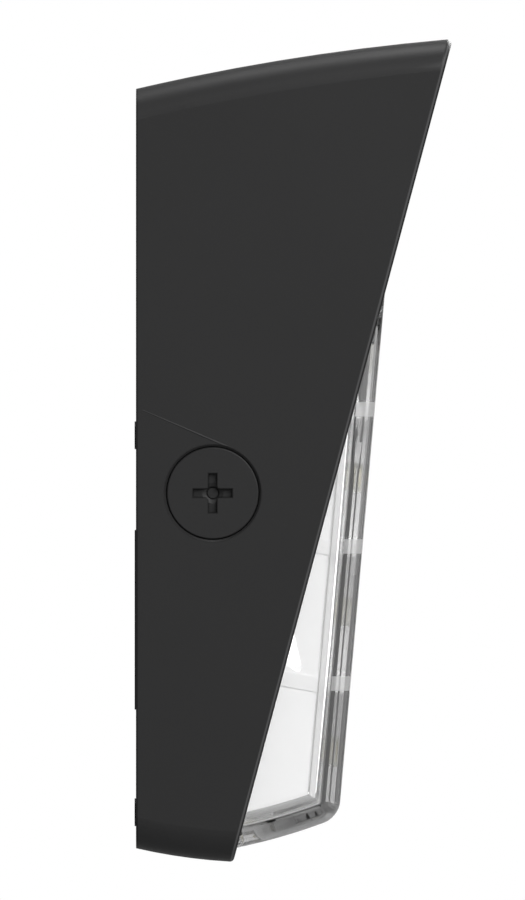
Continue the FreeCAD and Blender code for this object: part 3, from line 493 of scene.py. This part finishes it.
def housing_painted_light(finish):
    """Painted highlight along the rounding behind the slanted front, and painted shade in lines
    outside it, along the back edge and around the plugs, as two values from 0 to 1."""
    out = finish.node("ShaderNodeVectorMath", {"operation": "DOT_PRODUCT"}, {
        0: finish.place(), 1: SLANT_OUT}, 1)
    behind = out - SLANT_ORIGIN.dot(SLANT_OUT)
    rim = finish.ramp(behind, *FRONT_RIM)
    light = finish.ramp(behind, *HIGHLIGHT_LINE) - rim
    back = finish.ramp(finish.axis(finish.place(), 1), *BACK_EDGE)
    outside = finish.ramp(finish.sideways(), *SIDE_FACE)
    ring_shade = near_line(finish, plug_distances(finish)[2] - RING_RADIUS, RING_LINE)
    edges = finish.larger(rim * RIM_STRENGTH, back)
    return light, finish.larger(edges, outside * ring_shade * RING_STRENGTH)


def rubber(name, colour, roughness=0.8, size=0.5 * MM, speckle=0.15, relief=0.02 * MM):
    """Matt rubber, foam or silicone with a fine grain."""
    finish = Finish(name, colour, roughness, Specular_IOR_Level=0.2)
    grain = finish.noise(size)
    finish.feed("Base Color", finish.blend(grain, opaque(shade(colour, 1 - speckle)),
                                           opaque(shade(colour, 1 + speckle))))
    finish.bump(grain, relief)
    return finish.material


def plastic(name, colour, roughness=0.4, proud_of=None, size=0.8 * MM, cloud_size=15 * MM,
            speckle=0.03, relief=0.006 * MM):
    """Moulded plastic. What stands further out to the sides than proud_of is a little darker."""
    finish = Finish(name, colour, roughness)
    grain = finish.noise(size, detail=3.0)
    cloud = finish.noise(cloud_size)
    tone = finish.blend(cloud, opaque(shade(colour, 1 - speckle)), opaque(colour))
    if proud_of:
        proud = finish.ramp(finish.sideways(), proud_of, proud_of + PROUD_STEP)
        tone = finish.blend(proud, tone, opaque(shade(colour, PROUD_TONE)))
    finish.feed("Base Color", tone)
    finish.feed("Roughness", roughness + (grain - 0.5) * PLASTIC_SWING)
    finish.bump(grain, relief)
    return finish.material


def bare_metal(name, colour, roughness, streak, cloud_size=9 * MM, speckle=0.15,
               relief=0.006 * MM):
    """Metal with fine lines along one way, such as rolling or turning marks."""
    finish = Finish(name, colour, roughness, Metallic=1.0)
    stretched = finish.node("ShaderNodeVectorMath", {"operation": "MULTIPLY"},
                            {0: finish.place(), 1: streak})
    lines = finish.node("ShaderNodeTexNoise", {}, {
        "Vector": stretched, "Scale": METAL_LINES_PER_METRE, "Detail": 3.0})
    cloud = finish.noise(cloud_size, detail=3.0)
    tarnished = opaque(shade(colour, 1 - speckle))
    finish.feed("Base Color", finish.blend(cloud, tarnished, opaque(colour)))
    finish.feed("Roughness", roughness + (lines - 0.5) * METAL_LINE_SWING
                + (cloud - 0.5) * METAL_CLOUD_SWING)
    finish.bump(lines, relief)
    return finish.material


def lens_glass(options):
    """Clear glass that lets the lamps' light straight through to what it covers."""
    finish = Finish("clear_lens_glass", options.colour, 0.0, Transmission_Weight=1.0, IOR=1.5)
    through = finish.node("ShaderNodeBsdfTransparent", {}, {"Color": opaque(options.colour)})
    soft = finish.larger(finish.ray("Is Shadow Ray"), finish.ray("Is Diffuse Ray"))
    finish.surface(finish.mix(soft, finish.principled(), through))
    finish.fill(finish.output.inputs["Volume"], finish.node("ShaderNodeVolumeAbsorption", {}, {
        "Color": opaque((0, 0, 0)), "Density": options.absorption}))
    return finish.material


def frosted_glass(options, roughness=0.55, size=0.4 * MM, relief=0.02 * MM):
    """Etched glass that half hides what is behind it."""
    finish = Finish("frosted_band", options.frost, roughness, Alpha=options.frost_cover)
    finish.bump(finish.noise(size), relief)
    return finish.material


# Clear lens ------------------------------------------------------------------------------------

# The underside is a shallow arc between the heel, at the slanted front, and the toe
HEEL_DEPTH = SLANT_DEPTH - 16.05 * MM
HEEL_HEIGHT = -61.3 * MM
TOE_DEPTH = SLANT_DEPTH + 11.65 * MM
TOE_HEIGHT = -52.9 * MM
FLOOR_BULGE = 0.65 * MM

# The outline runs past the slanted front at both ends, where it is cut off
OUTLINE_TOP = 130 * MM
OUTLINE_END = -5 * MM
FRONT_STEPS = 4
CORNER_STEPS = 14
FLOOR_STEPS = 24
# How far the corner's centre lies above the sloping underside, in radii, and how often its place
# is worked out again
CENTRE_LIFT = 1.03
CENTRE_ROUNDS = 8
# Share of a flute's height that the underside's ridges have at the heel, and over what distance
HEEL_RIDGE = 0.8
HEEL_STEP = 1.0 * MM

# Levels over the slanted front: where the outside and the inside are cut, and the lens's foot
OUTSIDE_CUT = 0.0
INSIDE_CUT = -4 * MM
LENS_FOOT = -7 * MM
SAME_LEVEL = 0.01 * MM

OUTSIDE_FACETS = 10
CRISP_ANGLE = 30
FLAT_WEIGHT = 100

BAND_PROUD = 0.04 * MM
BAND_START = math.radians(8)
BAND_FACETS = 8


def slant_place(out):
    """The place this far out of the slanted front."""
    return SLANT_ORIGIN + SLANT_OUT * out


def add_piece(name, mesh):
    """Put a finished mesh into the scene."""
    data = bpy.data.meshes.new(name)
    mesh.to_mesh(data)
    mesh.free()
    piece = bpy.data.objects.new(name, data)
    bpy.context.scene.collection.objects.link(piece)
    return piece


def everything(mesh):
    return mesh.verts[:] + mesh.edges[:] + mesh.faces[:]


def cut_off(mesh, place, way):
    """Cut off what lies beyond a plane."""
    bmesh.ops.bisect_plane(mesh, geom=everything(mesh), plane_co=place, plane_no=way,
                           clear_outer=True)


def lens_front(options, height):
    """Depth of the lens's front at a height."""
    return SLANT_DEPTH + options.proud + math.tan(options.lean) * height


def lens_floor(depth):
    """Height of the lens's underside at a depth."""
    run = TOE_DEPTH - HEEL_DEPTH
    rise = TOE_HEIGHT - HEEL_HEIGHT
    chord = math.hypot(run, rise)
    radius = (chord ** 2 / 4 + FLOOR_BULGE ** 2) / (2 * FLOOR_BULGE)
    reach = radius - FLOOR_BULGE
    centre_depth = (HEEL_DEPTH + TOE_DEPTH) / 2 - rise / chord * reach
    centre_height = (HEEL_HEIGHT + TOE_HEIGHT) / 2 + run / chord * reach
    return centre_height - math.sqrt(radius ** 2 - (depth - centre_depth) ** 2)


def lens_outline(options, inset, ridge=0.0):
    """Side profile, from above the lens's top down its front, round the corner and back along
    its underside. The corner's centre stays put while the line is set in. A ridge sets only the
    front further in, and is lower along the underside, up to the heel."""
    lean = options.lean
    front_out = Vector((math.cos(lean), -math.sin(lean)))
    radius = options.corner_radius
    # the corner's centre: radius away from both the front and the underside
    depth = TOE_DEPTH - radius
    for turn in range(CENTRE_ROUNDS):
        height = lens_floor(depth) + radius * CENTRE_LIFT
        depth = lens_front(options, height) - radius / math.cos(lean)
    slope = (lens_floor(depth + MM) - lens_floor(depth - MM)) / (2 * MM)
    down_angle = math.atan2(-1.0, slope)
    floor_out = Vector((math.cos(down_angle), math.sin(down_angle)))
    reach = max(radius - inset, options.inner_radius)
    # a line set in by more than the corner's radius keeps a small rounding, whose centre moves in
    slack = (radius - inset - reach) / (1 + front_out.dot(floor_out))
    centre = Vector((depth, height)) + (front_out + floor_out) * slack
    low_ridge = ridge * options.floor_ridge

    start = centre + front_out * (reach - ridge)
    span = (OUTLINE_TOP - start.y) / math.cos(lean)
    up = Vector((math.sin(lean), math.cos(lean)))
    line = [start + up * span * index / FRONT_STEPS for index in range(FRONT_STEPS, 0, -1)]
    for index in range(CORNER_STEPS + 1):
        angle = (down_angle + lean) * index / CORNER_STEPS - lean
        fade = (1 + math.cos(math.pi * index / CORNER_STEPS)) / 2
        local = low_ridge + (ridge - low_ridge) * fade
        line.append(centre + Vector((math.cos(angle), math.sin(angle))) * (reach - local))
    last = line[-1]
    offset = last.y - lens_floor(last.x)
    for index in range(1, FLOOR_STEPS + 1):
        x = last.x + (OUTLINE_END - last.x) * index / FLOOR_STEPS
        heel = min(1.0, max(0.0, (options.heel_end - x) / HEEL_STEP))
        line.append(Vector((x, lens_floor(x) + offset + (HEEL_RIDGE * ridge - low_ridge) * heel)))
    return line


def add_column(mesh, across, outline):
    return [mesh.verts.new((across, -p.x, p.y)) for p in outline]


def join_columns(mesh, columns):
    for first, second in zip(columns, columns[1:]):
        for a, b, c, d in zip(first, first[1:], second[1:], second):
            mesh.faces.new((a, b, c, d))


def lens_skin(options, half, inset, side, segments, flutes=0):
    """Open shell of the lens's outside, or of its inside when set in: rings of one outline that
    shrink towards each side, which round the edges. Flutes run up the front, side by side."""
    mesh = bmesh.new()
    rings = []
    for index in range(segments + 1):
        angle = math.pi / 2 * index / segments
        outline = lens_outline(options, inset + side * (1 - math.sin(angle)))
        rings.append((half - side + side * math.cos(angle), outline))
    edges = []
    for sign in (-1, 1):
        columns = [add_column(mesh, sign * across, outline) for across, outline in rings]
        join_columns(mesh, columns)
        mesh.faces.new(columns[0])
        edges.append(columns[-1])
    left, right = edges
    columns = [left]
    for index in range(1, 2 * flutes):
        across = (half - side) * (index / flutes - 1)
        grown = min(1.0, (half - side - abs(across)) / options.flute_rise)
        ridge = (index % 2) * options.flute_depth * grown
        columns.append(add_column(mesh, across, lens_outline(options, inset, ridge)))
    columns.append(right)
    join_columns(mesh, columns)
    return mesh


def cut_level(mesh, level):
    """Cut the shell off at a level over the slanted front, and draw its edge down to the foot."""
    cut_off(mesh, slant_place(level), -SLANT_OUT)
    over = lambda vert: (vert.co - SLANT_ORIGIN).dot(SLANT_OUT) - level
    rim = [edge for edge in mesh.edges if edge.is_boundary
           and all(abs(over(vert)) < SAME_LEVEL for vert in edge.verts)]
    made = bmesh.ops.extrude_edge_only(mesh, edges=rim)["geom"]
    verts = [item for item in made if isinstance(item, bmesh.types.BMVert)]
    bmesh.ops.translate(mesh, verts=verts, vec=SLANT_OUT * (LENS_FOOT - level))


def build_lens(options):
    """Wedge-shaped moulding: an outside, and an inside with flutes, joined along their foot."""
    outer = lens_skin(options, options.half_width, 0.0, options.side_radius, OUTSIDE_FACETS)
    cut_level(outer, OUTSIDE_CUT)
    inner = lens_skin(options, options.half_width - options.wall, options.front_wall,
                      options.inner_radius, options.side_segments, options.flutes)
    cut_level(inner, INSIDE_CUT)
    bmesh.ops.reverse_faces(inner, faces=inner.faces[:])
    inside = bpy.data.meshes.new("lens_inside")
    inner.to_mesh(inside)
    inner.free()
    outer.from_mesh(inside)
    bpy.data.meshes.remove(inside)
    bmesh.ops.bridge_loops(outer, edges=[edge for edge in outer.edges if edge.is_boundary])
    bmesh.ops.recalc_face_normals(outer, faces=outer.faces[:])
    for face in outer.faces:
        face.smooth = True
    return add_piece("lens_moulding", outer)


def keep_flats_flat(piece):
    """Shade flat faces flat beside their roundings, and keep sharp edges crisp."""
    limit = math.radians(CRISP_ANGLE)
    mesh = bmesh.new()
    mesh.from_mesh(piece.data)
    for edge in mesh.edges:
        edge.smooth = len(edge.link_faces) == 2 and edge.calc_face_angle(0) < limit
    mesh.to_mesh(piece.data)
    mesh.free()
    weighted = piece.modifiers.new("flats", "WEIGHTED_NORMAL")
    weighted.keep_sharp = True
    weighted.weight = FLAT_WEIGHT


def cheek_place(lens, lamp):
    """Distance from the middle to the outside of the reflector's cheeks."""
    return lens.half_width - lens.wall - lamp.lip_gap


def build_lip(lens, lamp):
    """Rounded lip along the front edge of each of the reflector's cheeks."""
    mesh = bmesh.new()
    cheek = cheek_place(lens, lamp)
    for sign in (-1, 1):
        columns = []
        for step in range(lamp.lip_facets + 1):
            turn = math.pi / 2 * step / lamp.lip_facets
            outline = lens_outline(lens, lamp.lip_start - lamp.lip_width * math.sin(turn))
            across = cheek + lamp.lip_proud - lamp.lip_width * (1 - math.cos(turn))
            columns.append(add_column(mesh, sign * across, outline))
        for first, second in zip(columns, columns[1:]):
            for place, (a, b, c, d) in enumerate(zip(first, first[1:], second[1:], second)):
                face = mesh.faces.new((a, b, c, d) if sign > 0 else (a, d, c, b))
                face.smooth = True
                # The lip's underside takes the darker copy of its white: painted shade
                face.material_index = int(place >= lamp.lip_turn)
    cut_off(mesh, slant_place(-lamp.lip_reach), -SLANT_OUT)
    cut_off(mesh, Vector((0, 0, lamp.lip_top)), Vector((0, 0, 1)))
    piece = add_piece("reflector_lip", mesh)
    thick = piece.modifiers.new("sheet", "SOLIDIFY")
    thick.thickness = lamp.lip_sheet
    thick.offset = -1.0
    return piece


def build_bands(options):
    """Frosted bands, a hair proud of the lens's outside, round its side roundings and its front."""
    mesh = bmesh.new()
    radius = options.side_radius
    half = options.half_width - radius
    reach = radius + BAND_PROUD
    turns = [BAND_START + (math.pi / 2 - BAND_START) * index / BAND_FACETS
             for index in range(BAND_FACETS + 1)]
    line = [(-(half + reach * math.cos(turn)), radius - reach * math.sin(turn))
            for turn in turns]
    line += [(-across, inset) for across, inset in reversed(line)]
    for level in options.band_levels:
        columns = []
        for across, inset in line:
            column = []
            for edge in (-0.5, 0.5):
                height = level + edge * options.band_height
                depth = lens_front(options, height) - inset / math.cos(options.lean)
                column.append(mesh.verts.new((across, -depth, height)))
            columns.append(column)
        for (a, b), (c, d) in zip(columns, columns[1:]):
            mesh.faces.new((a, c, d, b)).smooth = True
    return add_piece("lens_bands", mesh)


# Operators -------------------------------------------------------------------------------------

class WALLPACK_OT_castings(bpy.types.Operator):
    """Powder coat the housing and the back plate"""
    bl_idname = "wallpack.castings"
    bl_label = "Castings"

    def execute(self, context):
        options = settings().coat
        # The housing's coat gets a painted highlight along its front edge and painted shade along
        # its edges and round the plugs
        coat(["housing"], powder_coat("housing_coat_painted_light", options, painted_light=housing_painted_light))
        coat(["back_plate"], powder_coat("plate_powder_coat", options, factor=0.9))
        return {"FINISHED"}


class WALLPACK_OT_plugs(bpy.types.Operator):
    """Finish the conduit plugs and their seals"""
    bl_idname = "wallpack.plugs"
    bl_label = "Conduit plugs"

    def execute(self, context):
        # The plugs' coat gets painted shade on the walls of the cross recess and its boss
        coat(["conduit_plug_left", "conduit_plug_right"],
             powder_coat("plug_coat_painted_shade", settings().coat, painted_light=plug_painted_shade))
        coat(["plug_seal_left", "plug_seal_right"],
             rubber("plug_seal_rubber", (0.03, 0.03, 0.03)))
        return {"FINISHED"}


class WALLPACK_OT_seals(bpy.types.Operator):
    """Finish the gaskets and the grommet"""
    bl_idname = "wallpack.seals"
    bl_label = "Seals"

    def execute(self, context):
        coat(["body_gasket", "wall_gasket"], rubber("grey_foam", (0.08, 0.08, 0.08)))
        coat(["wire_grommet", "screw_seals"], rubber("black_rubber", (0.015, 0.015, 0.015)))
        coat(["lens_gasket"], rubber("white_silicone", (0.7, 0.7, 0.7)))
        coat(["thermal_pad"], rubber("thermal_pad_grey", (0.35, 0.37, 0.4)))
        return {"FINISHED"}


class WALLPACK_OT_fasteners(bpy.types.Operator):
    """Finish the screws, pins and clips"""
    bl_idname = "wallpack.fasteners"
    bl_label = "Fasteners"

    def execute(self, context):
        zinc = bare_metal("zinc_plate", (0.58, 0.58, 0.60), 0.35, (1.0, 1.0, 0.1))
        coat(["hinge_pins", "captive_screw_left", "captive_screw_right", "lens_clips",
              "lens_clip_screws", "tray_screws", "board_screws", "driver_screws"], zinc)
        coat(["screw_retainer_left", "screw_retainer_right"],
             plastic("retainer_nylon", (0.7, 0.7, 0.66)))
        coat(["ground_screw"], plastic("green_dip", (0.02, 0.16, 0.04), 0.3))
        coat(["ground_terminal"],
             bare_metal("tinned_brass", (0.70, 0.62, 0.42), 0.3, (1.0, 1.0, 1.0)))
        return {"FINISHED"}


class WALLPACK_OT_lens(bpy.types.Operator):
    """Build the clear lens"""
    bl_idname = "wallpack.lens"
    bl_label = "Lens"

    def execute(self, context):
        options = settings().lens
        piece = build_lens(options)
        keep_flats_flat(piece)
        piece.data.materials.append(lens_glass(options))
        bands = build_bands(options)
        bands.data.materials.append(frosted_glass(options))
        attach(bands, HOUSING_BODY)
        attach(piece, HOUSING_BODY)
        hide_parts("lens")
        return {"FINISHED"}


class WALLPACK_OT_lamp(bpy.types.Operator):
    """Finish the reflector and the LED board"""
    bl_idname = "wallpack.lamp"
    bl_label = "Lamp"

    def execute(self, context):
        lens = settings().lens
        options = settings().lamp
        coat(["reflector"], plastic("reflector_white", options.reflector, 0.45,
                                    proud_of=cheek_place(lens, options) + PROUD_STEP))
        lip = build_lip(lens, options)
        # Shaded copies of the reflector's white for the lip and its underside: painted shade
        for name, tone in (("reflector_lip_painted_shade", options.lip_shade_tone),
                           ("reflector_lip_under_painted_shade", options.under_shade_tone)):
            lip.data.materials.append(plastic(name, shade(options.reflector, tone), 0.6))
        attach(lip, HOUSING_BODY)
        coat(["led_board"], plastic("solder_mask_white", options.board, 0.35))
        coat(["led_packages"], plastic("led_phosphor", options.phosphor, 0.25))
        coat(["board_connector"], plastic("connector_white", (0.75, 0.75, 0.72)))
        return {"FINISHED"}


class WALLPACK_OT_gear(bpy.types.Operator):
    """Finish the tray and the driver"""
    bl_idname = "wallpack.gear"
    bl_label = "Tray and driver"

    def execute(self, context):
        coat(["gear_tray"],
             bare_metal("galvanised_sheet", (0.55, 0.56, 0.58), 0.42, (1.0, 0.2, 0.2)))
        coat(["driver_case", "driver_lid"], plastic("driver_black", (0.02, 0.02, 0.02), 0.5))
        coat(["driver_board"], plastic("solder_mask_green", (0.02, 0.12, 0.04), 0.35))
        coat(["driver_transformer"], plastic("winding_tape", (0.55, 0.42, 0.08)))
        coat(["driver_capacitors"], plastic("capacitor_sleeve", (0.02, 0.025, 0.06), 0.3))
        return {"FINISHED"}


class WALLPACK_OT_wires(bpy.types.Operator):
    """Finish the leads and their connectors"""
    bl_idname = "wallpack.wires"
    bl_label = "Wires"

    def execute(self, context):
        sleeve = lambda tint, colour: plastic("sleeve_" + tint, colour, 0.35)
        coat(["line_lead", "led_lead_negative"], sleeve("black", (0.015, 0.015, 0.015)))
        coat(["neutral_lead"], sleeve("white", (0.75, 0.75, 0.72)))
        coat(["led_lead_positive"], sleeve("red", (0.45, 0.02, 0.015)))
        coat(["ground_lead"], sleeve("green", (0.02, 0.2, 0.05)))
        coat(["wire_connectors", "ground_connector"],
             plastic("connector_orange", (0.75, 0.17, 0.02)))
        return {"FINISHED"}


# The lamps: name, place, where they point, width and height, and power in watts. The low panels
# beside the light stand where the rounded edges and the lens mirror them.
ROOM_AIM = (0, -0.04, 0.05)
PANEL_AIM = (0, -0.045, 0.01)
LAMPS = (
    ("lamp_over", (0, -0.05, 1.6), ROOM_AIM, (0.9, 0.6), 12),
    ("lamp_left", (-1.7, -0.9, 1.0), ROOM_AIM, (1.2, 1.2), 39.5),
    ("lamp_right", (1.7, -0.9, 1.0), ROOM_AIM, (1.2, 1.2), 39.5),
    ("panel_left", (-1.8, -0.045, 0.01), PANEL_AIM, (0.12, 0.28), 0.08),
    ("panel_right", (1.8, -0.045, 0.01), PANEL_AIM, (0.12, 0.28), 0.08),
    ("lamp_front", (0, -2.0, 0.5), ROOM_AIM, (1.4, 1.4), 3),
)

FLOOR_COLOUR = (0.4, 0.4, 0.4)
FLOOR_SEEN_COLOUR = (0.9, 0.9, 0.9)
# How much of the floor's look is plain white; the rest shows the shadow
FLOOR_WHITE = 0.75
CLIP_END = 200
WHITE = (1, 1, 1)


def add_lamp(name, place, target, size, power):
    light = bpy.data.lights.new(name, "AREA")
    light.shape = "RECTANGLE"
    light.size, light.size_y = size
    light.energy = power
    holder = bpy.data.objects.new(name, light)
    holder.location = place
    aim = Vector(target) - Vector(place)
    holder.rotation_euler = aim.to_track_quat("-Z", "Y").to_euler()
    bpy.context.scene.collection.objects.link(holder)


class WALLPACK_OT_stage(bpy.types.Operator):
    """Set the floor, the lights and the camera"""
    bl_idname = "wallpack.stage"
    bl_label = "Stage"

    def execute(self, context):
        options = settings().stage
        scene = context.scene
        scene.view_settings.view_transform = "Standard"
        self.make_world(scene, options)
        self.make_floor(options)
        for lamp in LAMPS:
            add_lamp(*lamp)
        self.make_camera(scene, options)
        return {"FINISHED"}

    def make_world(self, scene, options):
        """White wherever the camera looks, and white to both sides in gloss and glass, whose other
        directions show the studio's grey walls. The light itself is soft and even."""
        world = bpy.data.worlds.new("studio")
        scene.world = world
        nodes = Nodes(world)
        back = lambda level: nodes.node("ShaderNodeBackground", {}, {
            "Color": opaque(WHITE), "Strength": level})
        direction = nodes.node("ShaderNodeTexCoord", {}, {}, "Generated")
        sides = nodes.ramp(abs(nodes.axis(direction, 0)), options.side_wall_start,
                           options.side_wall_end)
        shown = nodes.mix(sides, back(options.studio_wall), back(1.0))
        lit = nodes.mix(nodes.gloss_or_glass(), back(options.ambient), shown)
        nodes.node("ShaderNodeOutputWorld", {}, {
            "Surface": nodes.mix(nodes.ray("Is Camera Ray"), lit, back(1.0))})

    def make_floor(self, options):
        """Pale floor that shows nearly white with the light's shadow, and is darker in gloss."""
        half = options.floor_size / 2
        level = cad_low.z - options.floor_drop
        data = bpy.data.meshes.new("floor")
        corners = [(x, y, level) for x, y in ((-half, -half), (half, -half), (half, half),
                                              (-half, half))]
        data.from_pydata(corners, [], [(0, 1, 2, 3)])
        floor = bpy.data.objects.new("floor", data)
        bpy.context.scene.collection.objects.link(floor)
        finish = Finish("pale_floor", FLOOR_COLOUR, 0.9)
        glow = lambda strength: finish.node("ShaderNodeEmission", {}, {
            "Color": opaque(WHITE), "Strength": strength})
        white = finish.mix(finish.ray("Is Glossy Ray"), glow(1.0), glow(1 - options.floor_dim))
        lit = finish.node("ShaderNodeBsdfDiffuse", {}, {"Color": opaque(FLOOR_SEEN_COLOUR)})
        seen = finish.larger(finish.ray("Is Camera Ray"), finish.gloss_or_glass())
        finish.surface(finish.mix(seen, finish.principled(), finish.mix(FLOOR_WHITE, lit, white)))
        data.materials.append(finish.material)

    def make_camera(self, scene, options):
        """Camera level with the light, looking straight at its left side from far away."""
        data = bpy.data.cameras.new("camera")
        data.lens = options.focal_length
        data.clip_end = CLIP_END
        camera = bpy.data.objects.new("camera", data)
        distance = options.view_height / 2 / (data.sensor_width / 2 / options.focal_length)
        camera.location = (cad_low.x - distance, -options.view_depth, options.view_level)
        camera.rotation_euler = Vector((1, 0, 0)).to_track_quat("-Z", "Y").to_euler()
        scene.collection.objects.link(camera)
        scene.camera = camera


class WALLPACK_PT_panel(bpy.types.Panel):
    """Sidebar panel of the wall pack light"""
    bl_label = "Wall Pack"
    bl_idname = "WALLPACK_PT_panel"
    bl_space_type = "VIEW_3D"
    bl_region_type = "UI"
    bl_category = "Wall Pack"

    def draw(self, context):
        for operator in OPERATORS:
            self.layout.operator(operator.bl_idname)


OPERATORS = (WALLPACK_OT_castings, WALLPACK_OT_plugs, WALLPACK_OT_seals, WALLPACK_OT_fasteners,
             WALLPACK_OT_lens, WALLPACK_OT_lamp, WALLPACK_OT_gear, WALLPACK_OT_wires,
             WALLPACK_OT_stage)
CLASSES = (CoatSettings, LensSettings, LampSettings, StageSettings, WallPackSettings,
           *OPERATORS, WALLPACK_PT_panel)


def register():
    for made in CLASSES:
        bpy.utils.register_class(made)
    bpy.types.Scene.wall_pack = PointerProperty(type=WallPackSettings)


def unregister():
    del bpy.types.Scene.wall_pack
    for made in reversed(CLASSES):
        bpy.utils.unregister_class(made)


def main():
    register()
    bpy.ops.wallpack.castings()
    bpy.ops.wallpack.plugs()
    bpy.ops.wallpack.seals()
    bpy.ops.wallpack.fasteners()
    bpy.ops.wallpack.lens()
    bpy.ops.wallpack.lamp()
    bpy.ops.wallpack.gear()
    bpy.ops.wallpack.wires()
    bpy.ops.wallpack.stage()


if __name__ == "__main__":
    main()
